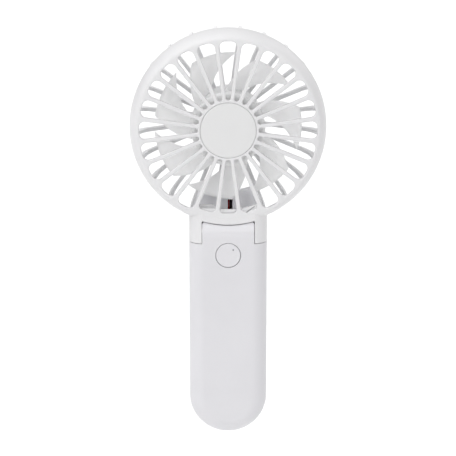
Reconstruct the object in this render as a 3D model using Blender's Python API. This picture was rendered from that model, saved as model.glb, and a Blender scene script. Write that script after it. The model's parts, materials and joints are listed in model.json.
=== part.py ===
"""Rechargeable handheld fan: a round fan head on a slim round-ended handle.

Metres, +Z up along the handle, the fan blows towards -Y. The origin is the
centre of the grip. The head folds backwards on two pins in the neck.
Helper functions take millimetres, with heights counted from the handle's
lower tip, and convert them to the part's own frame.
"""

import math

import bmesh
import bpy
from mathutils import Matrix, Vector

MM = 0.001

# Driving dimensions, in millimetres. Heights are above the handle's lower tip.
GRIP_HEIGHT = 52.0

HANDLE_HALF_WIDTH = 20.15
HANDLE_HALF_DEPTH = 12.5
FRONT_FILLET = 8.0
BACK_FILLET = 7.0
SHELL_WALL = 1.8
SHELL_GAP = 0.15
SHOULDER_HEIGHT = 103.7
TONGUE_HALF_WIDTH = 13.4
TONGUE_TOP = 113.6
TONGUE_CORNER_RISE = 1.1

PIVOT_Y = 7.6
PIVOT_HEIGHT = 108.7
KNUCKLE_RADIUS = 4.8
EAR_BOTTOM = 104.0
NECK_GAP = 0.32
PIN_RADIUS = 1.9
PIN_BORE = 1.3

AXIS_HEIGHT = 163.3
RIM_RADIUS = 50.5
RIM_WIDEST_Y = -1.0
SLOT_COUNT = 24
SLOT_INNER = 15.5
SLOT_OUTER = 45.4
SLOT_OUTER_NECK = 43.4
SPOKE_WIDTH_INNER = 1.87
SPOKE_WIDTH_OUTER = 2.25
CAP_RADIUS = 14.2
HEAD_SPLIT_Y = 5.0
REAR_PLANE_Y = 21.0
RIB_WIDTH = 1.8
REAR_HUB_RADIUS = 18.0

BLADE_COUNT = 7
IMPELLER_HUB_RADIUS = 19.0
BLADE_TIP_RADIUS = 37.9
BLADE_TURN = 1.7

BUTTON_HEIGHT = 97.65
BUTTON_RADIUS = 6.35
BUTTON_HOLE_RADIUS = 6.6

CELL_RADIUS = 9.2
CELL_BOTTOM = 14.6
CELL_TOP = 79.4


def remove_everything():
    for old in list(bpy.data.objects):
        bpy.data.objects.remove(old, do_unlink=True)
    for block in (bpy.data.meshes, bpy.data.curves, bpy.data.materials):
        for item in list(block):
            block.remove(item)


def point(x, y, height):
    return Vector((x * MM, y * MM, (height - GRIP_HEIGHT) * MM))


MATERIALS = {}


def material(name, colour, roughness=0.5, metallic=0.0):
    if name not in MATERIALS:
        made = bpy.data.materials.new(name)
        made.use_nodes = True
        shader = made.node_tree.nodes["Principled BSDF"]
        shader.inputs["Base Color"].default_value = (*colour, 1.0)
        shader.inputs["Roughness"].default_value = roughness
        shader.inputs["Metallic"].default_value = metallic
        made.diffuse_color = (*colour, 1.0)
        MATERIALS[name] = made
    return MATERIALS[name]


def white():
    return material("white_plastic", (0.84, 0.84, 0.86), 0.42)


def blade_white():
    return material("blade_plastic", (0.80, 0.80, 0.82), 0.45)


def steel():
    return material("steel", (0.55, 0.56, 0.58), 0.3, 1.0)


def copper():
    return material("copper", (0.72, 0.36, 0.18), 0.35, 1.0)


def board_green():
    return material("circuit_board", (0.03, 0.17, 0.08), 0.5)


def black_plastic():
    return material("black_plastic", (0.03, 0.03, 0.03), 0.5)


def red_wire():
    return material("red_insulation", (0.55, 0.03, 0.02), 0.5)


def black_wire():
    return material("black_insulation", (0.02, 0.02, 0.02), 0.5)


def object_from(name, points, faces, look=None):
    """A mesh object with its points in part coordinates and its faces turned outwards."""
    mesh = bpy.data.meshes.new(name)
    shape = bmesh.new()
    corners = [shape.verts.new(p) for p in points]
    for face in faces:
        shape.faces.new([corners[i] for i in face])
    bmesh.ops.remove_doubles(shape, verts=shape.verts, dist=1e-6)
    bmesh.ops.recalc_face_normals(shape, faces=shape.faces)
    shape.to_mesh(mesh)
    shape.free()
    made = bpy.data.objects.new(name, mesh)
    bpy.context.scene.collection.objects.link(made)
    if look:
        mesh.materials.append(look)
    return made


def lathe(name, profile, segments, look=None, axis="y", centre=(0.0, 0.0), phase=0.0):
    """A solid turned about an axis. The profile is (radius, along) pairs. It starts
    and ends on the axis, or else it closes on itself as a ring.
    The axis is y through (x, height), x through (y, height) or z through (x, y)."""
    on_axis = profile[0][0] == 0.0
    points, rings = [], []

    def place(radius, along, turn):
        a, b = radius * math.sin(turn), radius * math.cos(turn)
        if axis == "y":
            return point(centre[0] + a, along, centre[1] + b)
        if axis == "x":
            return point(along, centre[0] + a, centre[1] + b)
        return point(centre[0] + a, centre[1] + b, along)

    for radius, along in profile:
        start = len(points)
        if radius == 0.0:
            points.append(place(0.0, along, 0.0))
            rings.append([start] * segments)
        else:
            for i in range(segments):
                points.append(place(radius, along, phase + 2 * math.pi * i / segments))
            rings.append([start + i for i in range(segments)])
    pairs = list(zip(rings, rings[1:]))
    if not on_axis:
        pairs.append((rings[-1], rings[0]))
    faces = []
    for low, high in pairs:
        for i in range(segments):
            j = (i + 1) % segments
            loop = []
            for corner in (low[i], low[j], high[j], high[i]):
                if corner not in loop:
                    loop.append(corner)
            if len(loop) > 2:
                faces.append(loop)
    return object_from(name, points, faces, look)


def cylinder(name, radius, start, end, segments, look=None, axis="y", centre=(0.0, 0.0), phase=0.0):
    profile = [(0.0, start), (radius, start), (radius, end), (0.0, end)]
    return lathe(name, profile, segments, look, axis, centre, phase)


def box(name, low, high, look=None):
    (x0, y0, z0), (x1, y1, z1) = low, high
    points = [point(x, y, z) for x in (x0, x1) for y in (y0, y1) for z in (z0, z1)]
    faces = [(0, 1, 3, 2), (4, 6, 7, 5), (0, 4, 5, 1), (2, 3, 7, 6), (0, 2, 6, 4), (1, 5, 7, 3)]
    return object_from(name, points, faces, look)


def prism(name, outline, low, high, look=None, axis="y"):
    """An outline extruded along an axis. Outline pairs are (x, height) for y and
    (y, height) for x."""
    count = len(outline)
    points = []
    for along in (low, high):
        for a, b in outline:
            points.append(point(a, along, b) if axis == "y" else point(along, a, b))
    faces = [list(range(count)), list(range(count, 2 * count))]
    faces += [(i, (i + 1) % count, count + (i + 1) % count, count + i) for i in range(count)]
    return object_from(name, points, faces, look)


def combine(target, other, operation):
    """Applies one exact Boolean to the target and takes the other piece away."""
    other.hide_render = True
    other.display_type = "WIRE"
    step = target.modifiers.new("shape", "BOOLEAN")
    step.operation = operation
    step.solver = "EXACT"
    step.object = other
    bpy.context.view_layer.update()
    graph = bpy.context.evaluated_depsgraph_get()
    result = bpy.data.meshes.new_from_object(target.evaluated_get(graph))
    target.modifiers.remove(step)
    old = target.data
    target.data = result
    result.name = target.name
    bpy.data.meshes.remove(old)
    bpy.data.objects.remove(other, do_unlink=True)
    return target


def cut(target, *others):
    for other in others:
        combine(target, other, "DIFFERENCE")
    return target


def add(target, *others):
    for other in others:
        combine(target, other, "UNION")
    return target


def keep(target, other):
    return combine(target, other, "INTERSECT")


def joined(name, pieces):
    """Several separate closed pieces as one helper mesh."""
    points, faces = [], []
    for piece in pieces:
        start = len(points)
        points += [v.co.copy() for v in piece.data.vertices]
        faces += [[start + i for i in p.vertices] for p in piece.data.polygons]
        bpy.data.objects.remove(piece, do_unlink=True)
    return object_from(name, points, faces)


def pill(name, inset, top, arc=16, fillet_steps=3, look=None):
    """The handle's body: straight sides, a half-round lower end and rounded long edges."""
    half = HANDLE_HALF_WIDTH - inset
    front, back = -HANDLE_HALF_DEPTH + inset, HANDLE_HALF_DEPTH - inset
    edge_front, edge_back = FRONT_FILLET - inset, BACK_FILLET - inset
    rings = []
    for i in range(fillet_steps + 1):
        turn = 0.5 * math.pi * i / fillet_steps
        rings.append((edge_front * (1 - math.sin(turn)), front + edge_front * (1 - math.cos(turn))))
    for i in range(fillet_steps + 1):
        turn = 0.5 * math.pi * i / fillet_steps
        rings.append((edge_back * (1 - math.cos(turn)), back - edge_back * (1 - math.sin(turn))))
    points = []
    for inward, y in rings:
        width = half - inward
        points.append(point(width, y, top))
        for i in range(arc + 1):
            turn = math.pi * i / arc
            points.append(point(width * math.cos(turn), y, HANDLE_HALF_WIDTH - width * math.sin(turn)))
        points.append(point(-width, y, top))
    count = arc + 3
    faces = [list(range(count)), list(range(count * (len(rings) - 1), count * len(rings)))]
    for k in range(len(rings) - 1):
        for i in range(count):
            j = (i + 1) % count
            faces.append((k * count + i, k * count + j, (k + 1) * count + j, (k + 1) * count + i))
    return object_from(name, points, faces, look)


def tongue_top(x, gap=0.0):
    return TONGUE_TOP + gap + TONGUE_CORNER_RISE * (x / TONGUE_HALF_WIDTH) ** 2


def tongue_outline(half, gap, bottom, top_steps=6):
    """The tongue between the ears, seen from the front: its top edge follows the rim."""
    outline = [(half, bottom)]
    for i in range(top_steps + 1):
        x = half - 2 * half * i / top_steps
        outline.append((x, tongue_top(x, gap)))
    outline.append((-half, bottom))
    return outline


def knuckle_cut(name, half, sign):
    """What is taken off behind the pivot, outside the knuckle's round: above it for the
    tongue (sign 1), below it for the ears (sign -1)."""
    outline = [(PIVOT_Y, PIVOT_HEIGHT + sign * 12.0)]
    for i in range(9):
        turn = 0.5 * math.pi * i / 8
        outline.append(
            (
                PIVOT_Y + KNUCKLE_RADIUS * math.sin(turn),
                PIVOT_HEIGHT + sign * KNUCKLE_RADIUS * math.cos(turn),
            )
        )
    outline += [(PIVOT_Y + 12.0, PIVOT_HEIGHT), (PIVOT_Y + 12.0, PIVOT_HEIGHT + sign * 12.0)]
    return prism(name, outline, -half, half, axis="x")


# ---------------------------------------------------------------- the handle


def handle_shell(name, front):
    """One half of the handle. The halves meet on the plane y = 0."""
    shell = pill(name, 0.0, 118.0, look=white())
    for side in (-1, 1):
        low, high = sorted((side * (TONGUE_HALF_WIDTH - 0.0), side * 30.0))
        cut(shell, box("shoulder_cut", (low, -20, SHOULDER_HEIGHT), (high, 20, 130)))
    outline = tongue_outline(TONGUE_HALF_WIDTH + 2.0, 0.0, 90.0)
    top = [(x, h) for x, h in outline[1:-1]] + [(-30, 140), (30, 140)]
    cut(shell, prism("tongue_top_cut", top, -20, 20))
    cut(shell, knuckle_cut("tongue_round_cut", 15.0, 1))
    cut(shell, pill("hollow", SHELL_WALL, 101.8, arc=12, fillet_steps=2))
    cut(shell, box("tongue_hollow", (-11.5, -10.7, 100.0), (11.5, 9.2, 110.9)))
    cut(shell, cylinder("knuckle_hollow", 3.4, -11.3, 11.3, 20, axis="x", centre=(PIVOT_Y, PIVOT_HEIGHT)))
    if front:
        cut(shell, box("rear_half", (-40, -SHELL_GAP, -20), (40, 40, 140)))
        for side in (-1, 1):
            for height in SCREW_HEIGHTS:
                centre = (side * SCREW_X, height)
                add(shell, cylinder("boss", 2.6, -10.5, -SHELL_GAP, 16, centre=centre))
                cut(shell, cylinder("pilot", 1.05, -9.0, 2.0, 12, centre=centre))
        cut(shell, cylinder("button_hole", BUTTON_HOLE_RADIUS, -20, -6, 30, centre=(0, BUTTON_HEIGHT)))
    else:
        cut(shell, box("front_half", (-40, -40, -20), (40, SHELL_GAP, 140)))
        for side in (-1, 1):
            for height in SCREW_HEIGHTS:
                centre = (side * SCREW_X, height)
                add(shell, cylinder("boss", 2.6, SHELL_GAP, 10.6, 16, centre=centre))
                cut(shell, cylinder("shank_hole", 1.25, -3.0, 14.0, 12, centre=centre))
                cut(shell, cylinder("head_recess", 2.25, 9.9, 14.0, 16, centre=centre))
        cut(shell, cylinder("pin_holes", PIN_RADIUS + 0.1, -16, 16, 20, axis="x", centre=(PIVOT_Y, PIVOT_HEIGHT)))
    cut(shell, port_shape("port_hole", 0.35, -3.0, 3.0))
    return shell


SCREW_X = 13.7
SCREW_HEIGHTS = (27.0, 92.0)
PORT_Y = 0.0


def port_outline(grow):
    half_width, half_depth, steps = 4.47 + grow, 1.6 + grow, 5
    outline = []
    for side in (1, -1):
        for i in range(steps + 1):
            turn = -0.5 * math.pi + math.pi * i / steps
            outline.append(
                (
                    side * (half_width - half_depth + half_depth * math.cos(turn)),
                    PORT_Y + side * half_depth * math.sin(turn),
                )
            )
    return outline


def port_shape(name, grow, low, high, look=None):
    outline = port_outline(grow)
    count = len(outline)
    points = [point(x, y, height) for height in (low, high) for x, y in outline]
    faces = [list(range(count)), list(range(count, 2 * count))]
    faces += [(i, (i + 1) % count, count + (i + 1) % count, count + i) for i in range(count)]
    return object_from(name, points, faces, look)


def smooth_path(stops, steps=6):
    """Points along a smooth curve through the stops, in millimetres."""
    stops = [Vector(s) for s in stops]
    path = []
    for i in range(len(stops) - 1):
        a = stops[max(i - 1, 0)]
        b, c = stops[i], stops[i + 1]
        d = stops[min(i + 2, len(stops) - 1)]
        for k in range(steps):
            t = k / steps
            path.append(
                0.5
                * (
                    2 * b
                    + (c - a) * t
                    + (2 * a - 5 * b + 4 * c - d) * t**2
                    + (3 * b - a - 3 * c + d) * t**3
                )
            )
    path.append(stops[-1])
    return path


def wire(name, stops, radius, look, steps=2):
    path = smooth_path(stops, steps)
    curve = bpy.data.curves.new(name, "CURVE")
    curve.dimensions = "3D"
    curve.bevel_depth = radius * MM
    curve.bevel_resolution = 1
    curve.use_fill_caps = True
    spline = curve.splines.new("POLY")
    spline.points.add(len(path) - 1)
    for target, p in zip(spline.points, path):
        target.co = (*point(*p), 1.0)
    curve.materials.append(look)
    made = bpy.data.objects.new(name, curve)
    bpy.context.scene.collection.objects.link(made)
    return made


def handle_pieces():
    made = [handle_shell("handle_front_shell", True), handle_shell("handle_rear_shell", False)]
    made.append(box("circuit_board", (-10.5, -3.0, 83.0), (10.5, -1.8, 104.5), board_green()))
    switch = box("tact_switch_body", (-3.0, -6.9, BUTTON_HEIGHT - 3.0), (3.0, -3.3, BUTTON_HEIGHT + 3.0), black_plastic())
    cut(switch, cylinder("plunger_well", 1.95, -9.0, -4.6, 16, centre=(0, BUTTON_HEIGHT)))
    made.append(switch)
    made.append(
        box("indicator_led", (1.8, -4.1, BUTTON_HEIGHT + 3.4), (3.4, -3.3, BUTTON_HEIGHT + 4.4), material("led", (0.85, 0.9, 0.95), 0.2))
    )
    cell = [(0, CELL_BOTTOM), (8.4, CELL_BOTTOM), (CELL_RADIUS, CELL_BOTTOM + 0.8), (CELL_RADIUS, CELL_TOP - 2.4),
            (CELL_RADIUS - 0.7, CELL_TOP - 1.4), (CELL_RADIUS - 0.7, CELL_TOP - 0.8), (3.4, CELL_TOP - 0.8), (3.0, CELL_TOP), (0, CELL_TOP)]
    made.append(lathe("battery_cell", cell, 32, material("cell_wrap", (0.05, 0.16, 0.42), 0.35), axis="z"))
    made.append(box("battery_pad", (-7.0, 9.5, 26.0), (7.0, 10.4, 68.0), material("foam", (0.1, 0.1, 0.11), 0.9)))
    made.append(box("nickel_strip_top", (-2.6, -5.0, CELL_TOP + 0.3), (2.6, 3.0, CELL_TOP + 0.5), steel()))
    made.append(box("nickel_strip_bottom", (-2.6, -3.0, CELL_BOTTOM - 0.5), (2.6, 7.0, CELL_BOTTOM - 0.3), steel()))
    made.append(
        wire("battery_lead_red", [(0, -3.6, CELL_TOP + 1.15), (1.0, -1.8, CELL_TOP + 2.0), (2.6, -0.6, CELL_TOP + 3.4), (3.2, -0.9, CELL_TOP + 6.0), (3.4, -1.0, CELL_TOP + 9.0)], 0.5, red_wire())
    )
    made.append(
        wire(
            "battery_lead_black",
            [(-2.0, 6.4, CELL_BOTTOM - 1.15), (-6.0, 7.6, CELL_BOTTOM - 1.3), (-9.6, 6.6, CELL_BOTTOM + 2.0), (-10.0, 5.0, 24.0), (-10.0, 4.5, 50.0), (-10.0, 4.5, 76.0), (-8.8, 2.6, 82.4), (-4.2, -0.9, 87.0), (-3.4, -1.0, 90.0)],
            0.5,
            black_wire(),
        )
    )
    made.append(box("charge_board", (-6.0, 2.0, 3.3), (6.0, 3.0, 12.6), board_green()))
    socket = port_shape("usb_socket", 0.0, 0.5, 7.6, steel())
    mouth = port_shape("socket_mouth", -0.45, -1.0, 6.6)
    cut(socket, mouth)
    add(socket, box("socket_tongue", (-3.2, PORT_Y - 0.35, 1.4), (3.2, PORT_Y + 0.35, 7.0)))
    made.append(socket)
    made.append(box("charge_ribbon", (9.9, 3.2, 13.2), (10.6, 7.0, 82.4), material("ribbon", (0.35, 0.35, 0.37), 0.6)))
    number = 0
    for side in (-1, 1):
        for height in SCREW_HEIGHTS:
            number += 1
            profile = [(0, -6.5), (0.75, -6.5), (0.75, 9.6), (0.9, 10.2), (1.95, 10.2), (1.95, 11.4), (0, 11.4)]
            made.append(lathe(f"handle_screw_{number}", profile, 10, steel(), centre=(side * SCREW_X, height)))
    for name, look, lift in (("lead_red_handle", red_wire(), 0.55), ("lead_black_handle", black_wire(), -0.55)):
        made.append(
            wire(
                name,
                [(-4.0 + 2 * lift, -1.1, 101.0), (-4.2 + 2 * lift, 0.6, 104.0), (-4.6 + 2 * lift, 4.6, 107.2 + lift), (-6.4, 7.2, 108.6 + lift), (-9.0, PIVOT_Y, PIVOT_HEIGHT + lift), (-12.0, PIVOT_Y, PIVOT_HEIGHT + lift)],
                0.4,
                look,
            )
        )
    for name, side in (("friction_washer_left", -1), ("friction_washer_right", 1)):
        low, high = sorted((side * 9.3, side * 11.0))
        made.append(
            lathe(name, [(2.2, low), (3.1, low), (3.1, high), (2.2, high)], 14, material("washer_steel", (0.45, 0.46, 0.48), 0.35, 1.0), axis="x", centre=(PIVOT_Y, PIVOT_HEIGHT))
        )
    return made


# ---------------------------------------------------------------- the button


def button_pieces():
    profile = [
        (0, -12.45), (5.6, -12.4), (BUTTON_RADIUS - 0.1, -12.2), (BUTTON_RADIUS, -11.9), (BUTTON_RADIUS, -10.35), (7.7, -10.35), (7.7, -9.5),
        (1.5, -9.5), (1.5, -8.4), (0, -8.4),
    ]
    button = lathe("power_button", profile, 30, white(), centre=(0, BUTTON_HEIGHT))
    dot = (2.6, BUTTON_HEIGHT + 3.0)
    cut(button, cylinder("light_hole", 0.6, -14, -7, 12, centre=dot))
    pipe = cylinder("indicator_light_pipe", 0.42, -12.3, -8.8, 12, material("light_pipe", (0.62, 0.64, 0.66), 0.25), centre=dot)
    plunger = lathe(
        "switch_plunger", [(0, -8.1), (1.35, -8.1), (1.65, -7.8), (1.65, -5.6), (0, -5.6)], 16, material("plunger_plastic", (0.7, 0.7, 0.66), 0.5), centre=(0, BUTTON_HEIGHT)
    )
    return [button, pipe], [plunger]


# ---------------------------------------------------------------- the head


def front_face_y(radius):
    """The grille's front: a shallow dome that turns down into the rim."""
    dome = -13.0 + 0.7 * max(0.0, (radius - SLOT_INNER) / (SLOT_OUTER - SLOT_INNER)) ** 2
    if radius <= SLOT_OUTER:
        return dome
    part = (radius - SLOT_OUTER) / (RIM_RADIUS - SLOT_OUTER)
    return RIM_WIDEST_Y - (12.3 + RIM_WIDEST_Y) * math.sqrt(max(0.0, 1 - part**2.0))


def slot_edge(u):
    """Half the slot's width at a distance u along the slot's middle line."""
    share = (u - SLOT_INNER) / (SLOT_OUTER - SLOT_INNER)
    width = SPOKE_WIDTH_INNER + (SPOKE_WIDTH_OUTER - SPOKE_WIDTH_INNER) * share
    half_pitch = math.pi / SLOT_COUNT
    return u * math.tan(half_pitch) - 0.5 * width / math.cos(half_pitch)


def grille_body(name, look):
    """The front grille with its rim, hub plate and 24 round-ended slots, as one skin."""
    half_pitch = math.pi / SLOT_COUNT
    hub, rim = 15.1, 46.7
    side_radii = (16.2, 29.0, 42.0)
    outer_turns = (0.43 * half_pitch, -0.43 * half_pitch)
    points, faces = [], []

    def vertex(u, v, turn, y):
        x = u * math.sin(turn) + v * math.cos(turn)
        z = u * math.cos(turn) - v * math.sin(turn)
        points.append(point(x, y, AXIS_HEIGHT + z))
        return len(points) - 1

    def polar(radius, phi):
        return radius * math.cos(phi), radius * math.sin(phi)

    def back_y(radius):
        return -10.6 if radius < 45.8 else -10.0

    for sector in range(SLOT_COUNT):
        turn = 2 * math.pi * sector / SLOT_COUNT
        # The three lowest slots stop short, where the neck meets the rim.
        outer = SLOT_OUTER_NECK if sector in (11, 12, 13) else SLOT_OUTER
        end_round, nose = 2.6, 1.15
        edge = slot_edge(outer - 0.5)
        border = [polar(hub, -half_pitch), polar(hub, 0.0), polar(hub, half_pitch)]
        slot = [(16.65 - nose * 0.707, -nose * 0.707), (SLOT_INNER, 0.0), (16.65 - nose * 0.707, nose * 0.707)]
        right_border = [polar(r, half_pitch) for r in side_radii]
        stops = (16.7, 29.0, outer - end_round)
        right_slot = [(u, slot_edge(u)) for u in stops]
        border += right_border
        slot += right_slot
        border += [polar(rim, half_pitch), polar(rim, outer_turns[0]), polar(rim, outer_turns[1]), polar(rim, -half_pitch)]
        flat = edge - end_round
        rise = math.sqrt(outer**2 - flat**2)
        slot += [
            (rise - 0.29 * end_round - 0.35, edge - 0.25 * end_round), (rise, flat), (rise, -flat), (rise - 0.29 * end_round - 0.35, -(edge - 0.25 * end_round))
        ]
        border += [(u, -v) for u, v in reversed(right_border)]
        slot += [(u, -v) for u, v in reversed(right_slot)]
        rows = [
            [vertex(u, v, turn, front_face_y(math.hypot(u, v))) for u, v in border],
            [vertex(u, v, turn, front_face_y(math.hypot(u, v))) for u, v in slot],
            [vertex(u, v, turn, back_y(math.hypot(u, v))) for u, v in slot],
            [vertex(u, v, turn, back_y(math.hypot(u, v))) for u, v in border],
        ]
        count = len(border)
        for low, high in zip(rows, rows[1:]):
            for i in range(count):
                j = (i + 1) % count
                faces.append((low[i], low[j], high[j], high[i]))

    def rings(profile, turns):
        made = []
        for radius, y in profile:
            made.append([vertex(radius, 0.0, turn, y) for turn in turns])
        for low, high in zip(made, made[1:]):
            for i in range(len(turns)):
                j = (i + 1) % len(turns)
                faces.append((low[i], low[j], high[j], high[i]))
        return made

    hub_turns = [math.pi * i / SLOT_COUNT for i in range(2 * SLOT_COUNT)]
    seat = CAP_RADIUS + 0.35
    inner = rings([(hub, front_face_y(hub)), (seat, -12.9), (seat, -11.2)], hub_turns)
    faces.append(list(inner[-1]))
    behind = rings([(hub, back_y(hub)), (seat, -10.1)], hub_turns)
    faces.append(list(behind[-1]))
    rim_turns = []
    for sector in range(SLOT_COUNT):
        turn = 2 * math.pi * sector / SLOT_COUNT
        rim_turns += [turn - half_pitch, turn + outer_turns[1], turn + outer_turns[0]]
    profile = [(rim, front_face_y(rim))]
    for i in range(1, 5):
        part = math.sin(0.5 * math.pi * (0.17 + 0.83 * i / 4))
        radius = SLOT_OUTER + (RIM_RADIUS - SLOT_OUTER) * part
        profile.append((radius, front_face_y(radius)))
    profile += [(50.38, 2.0), (49.95, HEAD_SPLIT_Y - 0.15), (49.1, HEAD_SPLIT_Y - 0.15), (48.9, -3.0), (48.2, -7.0), (rim, back_y(rim))]
    rings(profile, rim_turns)
    return object_from(name, points, faces, look)


def head_inside(name):
    """The open room inside the head, as a turned shape. It is shallower behind the neck."""
    profile = [(0, -14.5), (45.7, -14.5), (45.7, -10.7), (47.55, -10.7), (47.55, 30.0), (0, 30.0)]
    return lathe(name, profile, 96, centre=(0, AXIS_HEIGHT))


def head_sides(name):
    """The room inside the rim's thin wall, left and right of the neck."""
    profile = [(0, -10.6), (46.6, -9.9), (47.7, -8.2), (48.4, -6.0), (49.05, -2.0), (49.15, 30.0), (0, 30.0)]
    room = lathe(name, profile, 96, centre=(0, AXIS_HEIGHT))
    return cut(room, box("behind_neck", (-17.0, -40, 80), (17.0, 40, 240)))


def ear_pieces(name, low, high):
    """The handle's outer shape carried up past the hinge."""
    piece = pill(name, 0.0, high, arc=8, fillet_steps=4)
    return cut(piece, box("below", (-40, -30, -30), (40, 30, low)))


def front_grille():
    neck = ear_pieces("neck", EAR_BOTTOM, 121.5)
    cut(neck, box("behind_split", (-40, HEAD_SPLIT_Y - 0.15, 115.5), (40, 40, 140)))
    cut(neck, head_inside("room"))
    cut(neck, head_sides("side_room"))
    body = add(grille_body("front_grille", white()), neck)
    # The ledge that closes the lower ends of the three short slots.
    ledge = lathe("ledge", [(SLOT_OUTER_NECK + 0.15, -11.3), (48.3, -11.3), (48.3, -4.0), (SLOT_OUTER_NECK + 0.15, -4.0)], 96, centre=(0, AXIS_HEIGHT))
    keep(ledge, box("ledge_width", (-16.6, -20, 100), (16.6, 10, 125)))
    add(body, ledge)
    half = TONGUE_HALF_WIDTH + 0.3
    cut(body, prism("tongue_room", tongue_outline(half, NECK_GAP, 90.0), -20, 20))
    cut(body, knuckle_cut("ear_round_cut", 30.0, -1))
    for side in (-1, 1):
        low, high = sorted((side * 12.5, side * 18.3))
        cut(body, cylinder("pin_seat", PIN_RADIUS + 0.3, low, high, 20, axis="x", centre=(PIVOT_Y, PIVOT_HEIGHT)))
    cut(body, box("wire_way", (-18.2, 5.7, 107.0), (-15.7, 9.3, 119.5)))
    return body


def rib(name, turn):
    """One rear rib: along the side of the head, round its shoulder and in to the hub."""
    outer = [(49.85, 6.0), (50.1, 10.5), (49.95, 15.5), (48.8, 19.0), (46.0, 20.8), (43.0, REAR_PLANE_Y), (16.0, REAR_PLANE_Y)]
    inner = [(16.0, 17.0), (41.5, 16.4), (45.2, 14.4), (46.9, 9.6), (49.1, 6.0)]
    outline = outer + inner
    count = len(outline)
    points = []
    for side in (-0.5 * RIB_WIDTH, 0.5 * RIB_WIDTH):
        for radius, y in outline:
            x = radius * math.sin(turn) + side * math.cos(turn)
            z = radius * math.cos(turn) - side * math.sin(turn)
            points.append(point(x, y, AXIS_HEIGHT + z))
    faces = [list(range(count)), list(range(count, 2 * count))]
    faces += [(i, (i + 1) % count, count + (i + 1) % count, count + i) for i in range(count)]
    return object_from(name, points, faces)


def sector(name, inset):
    """A wedge from the head's axis down to the neck, between the two ribs beside it."""
    slope = math.tan(math.radians(22.5))
    lift = inset / math.sin(math.radians(22.5))
    low = 70.0
    outline = [(0.0, AXIS_HEIGHT - lift), ((low - lift) * slope, AXIS_HEIGHT - low), (-(low - lift) * slope, AXIS_HEIGHT - low)]
    return prism(name, outline, -25.0, 35.0)


def rear_cover():
    band = lathe("band", [(48.95, HEAD_SPLIT_Y + 0.15), (50.1, HEAD_SPLIT_Y + 0.15), (50.05, 6.9), (48.95, 6.9)], 48, centre=(0, AXIS_HEIGHT))
    hub = lathe(
        "hub", [(0, 17.2), (14.2, 17.2), (14.2, 14.6), (REAR_HUB_RADIUS, 14.6), (REAR_HUB_RADIUS, 20.6), (17.3, 21.15), (0, 21.15)], 24, centre=(0, AXIS_HEIGHT)
    )
    ribs = joined("ribs", [rib("rib", 2 * math.pi * (k + 0.5) / SLOT_COUNT) for k in range(SLOT_COUNT)])
    cover = joined("rear_cover", [band, hub])
    cover.data.materials.append(white())
    add(cover, ribs)
    # The box behind the neck, which carries the wires from the hinge up to the channel.
    neck = ear_pieces("neck_box", 115.8, 131.0)
    cut(neck, box("before_split", (-40, -40, 0), (40, HEAD_SPLIT_Y + 0.15, 140)))
    keep(neck, sector("box_sector", 0.0))
    cut(neck, cylinder("box_arc", 36.6, 0, 30, 96, centre=(0, AXIS_HEIGHT)))
    add(cover, neck)
    add(cover, box("strut", (-3.1, 9.3, 118.4), (3.1, REAR_PLANE_Y - 1.0, 146.4)))
    inside = pill("neck_room", SHELL_WALL, 132.0, arc=8, fillet_steps=3)
    cut(inside, box("room_front", (-40, -40, 0), (40, HEAD_SPLIT_Y + 1.7, 140)))
    keep(inside, sector("room_sector", 1.1))
    cut(inside, cylinder("room_arc", 38.2, 0, 30, 96, centre=(0, AXIS_HEIGHT), phase=0.01))
    cut(cover, inside)
    cut(cover, box("channel", (-2.0, 10.5, 120.0), (2.0, 30.0, 147.5)))
    cut(cover, box("wire_window", (-2.75, 0.0, 117.1), (2.65, 8.5, 121.7)))
    cut(cover, box("below_neck", (-20.6, 0.0, 90.0), (20.6, 40.0, 115.8)))
    for turn in MOTOR_SCREW_TURNS:
        centre = (MOTOR_SCREW_RADIUS * math.sin(turn), AXIS_HEIGHT + MOTOR_SCREW_RADIUS * math.cos(turn))
        cut(cover, cylinder("motor_screw_hole", 1.1, 10, 25, 12, centre=centre, phase=0.11))
        cut(cover, cylinder("motor_screw_recess", 2.0, 18.2, 25, 16, centre=centre, phase=0.07))
    return cover


MOTOR_SCREW_RADIUS = 9.0
MOTOR_SCREW_TURNS = [2 * math.pi * k / 3 for k in range(3)]


def stator(name):
    """Six wound poles round a core."""
    points_count = 6
    outline = []
    for k in range(points_count):
        middle = 2 * math.pi * k / points_count
        for radius, swing in ((5.0, -24), (8.6, -14), (8.8, -25), (10.2, -25), (10.4, 0), (10.2, 25), (8.8, 25), (8.6, 14), (5.0, 24)):
            turn = middle + math.radians(swing)
            outline.append((radius * math.sin(turn), AXIS_HEIGHT + radius * math.cos(turn)))
    core = prism(name, outline, 4.6, 12.4, copper())
    return cut(core, cylinder("bush_hole", 3.3, 0, 20, 20, centre=(0, AXIS_HEIGHT)))


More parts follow.
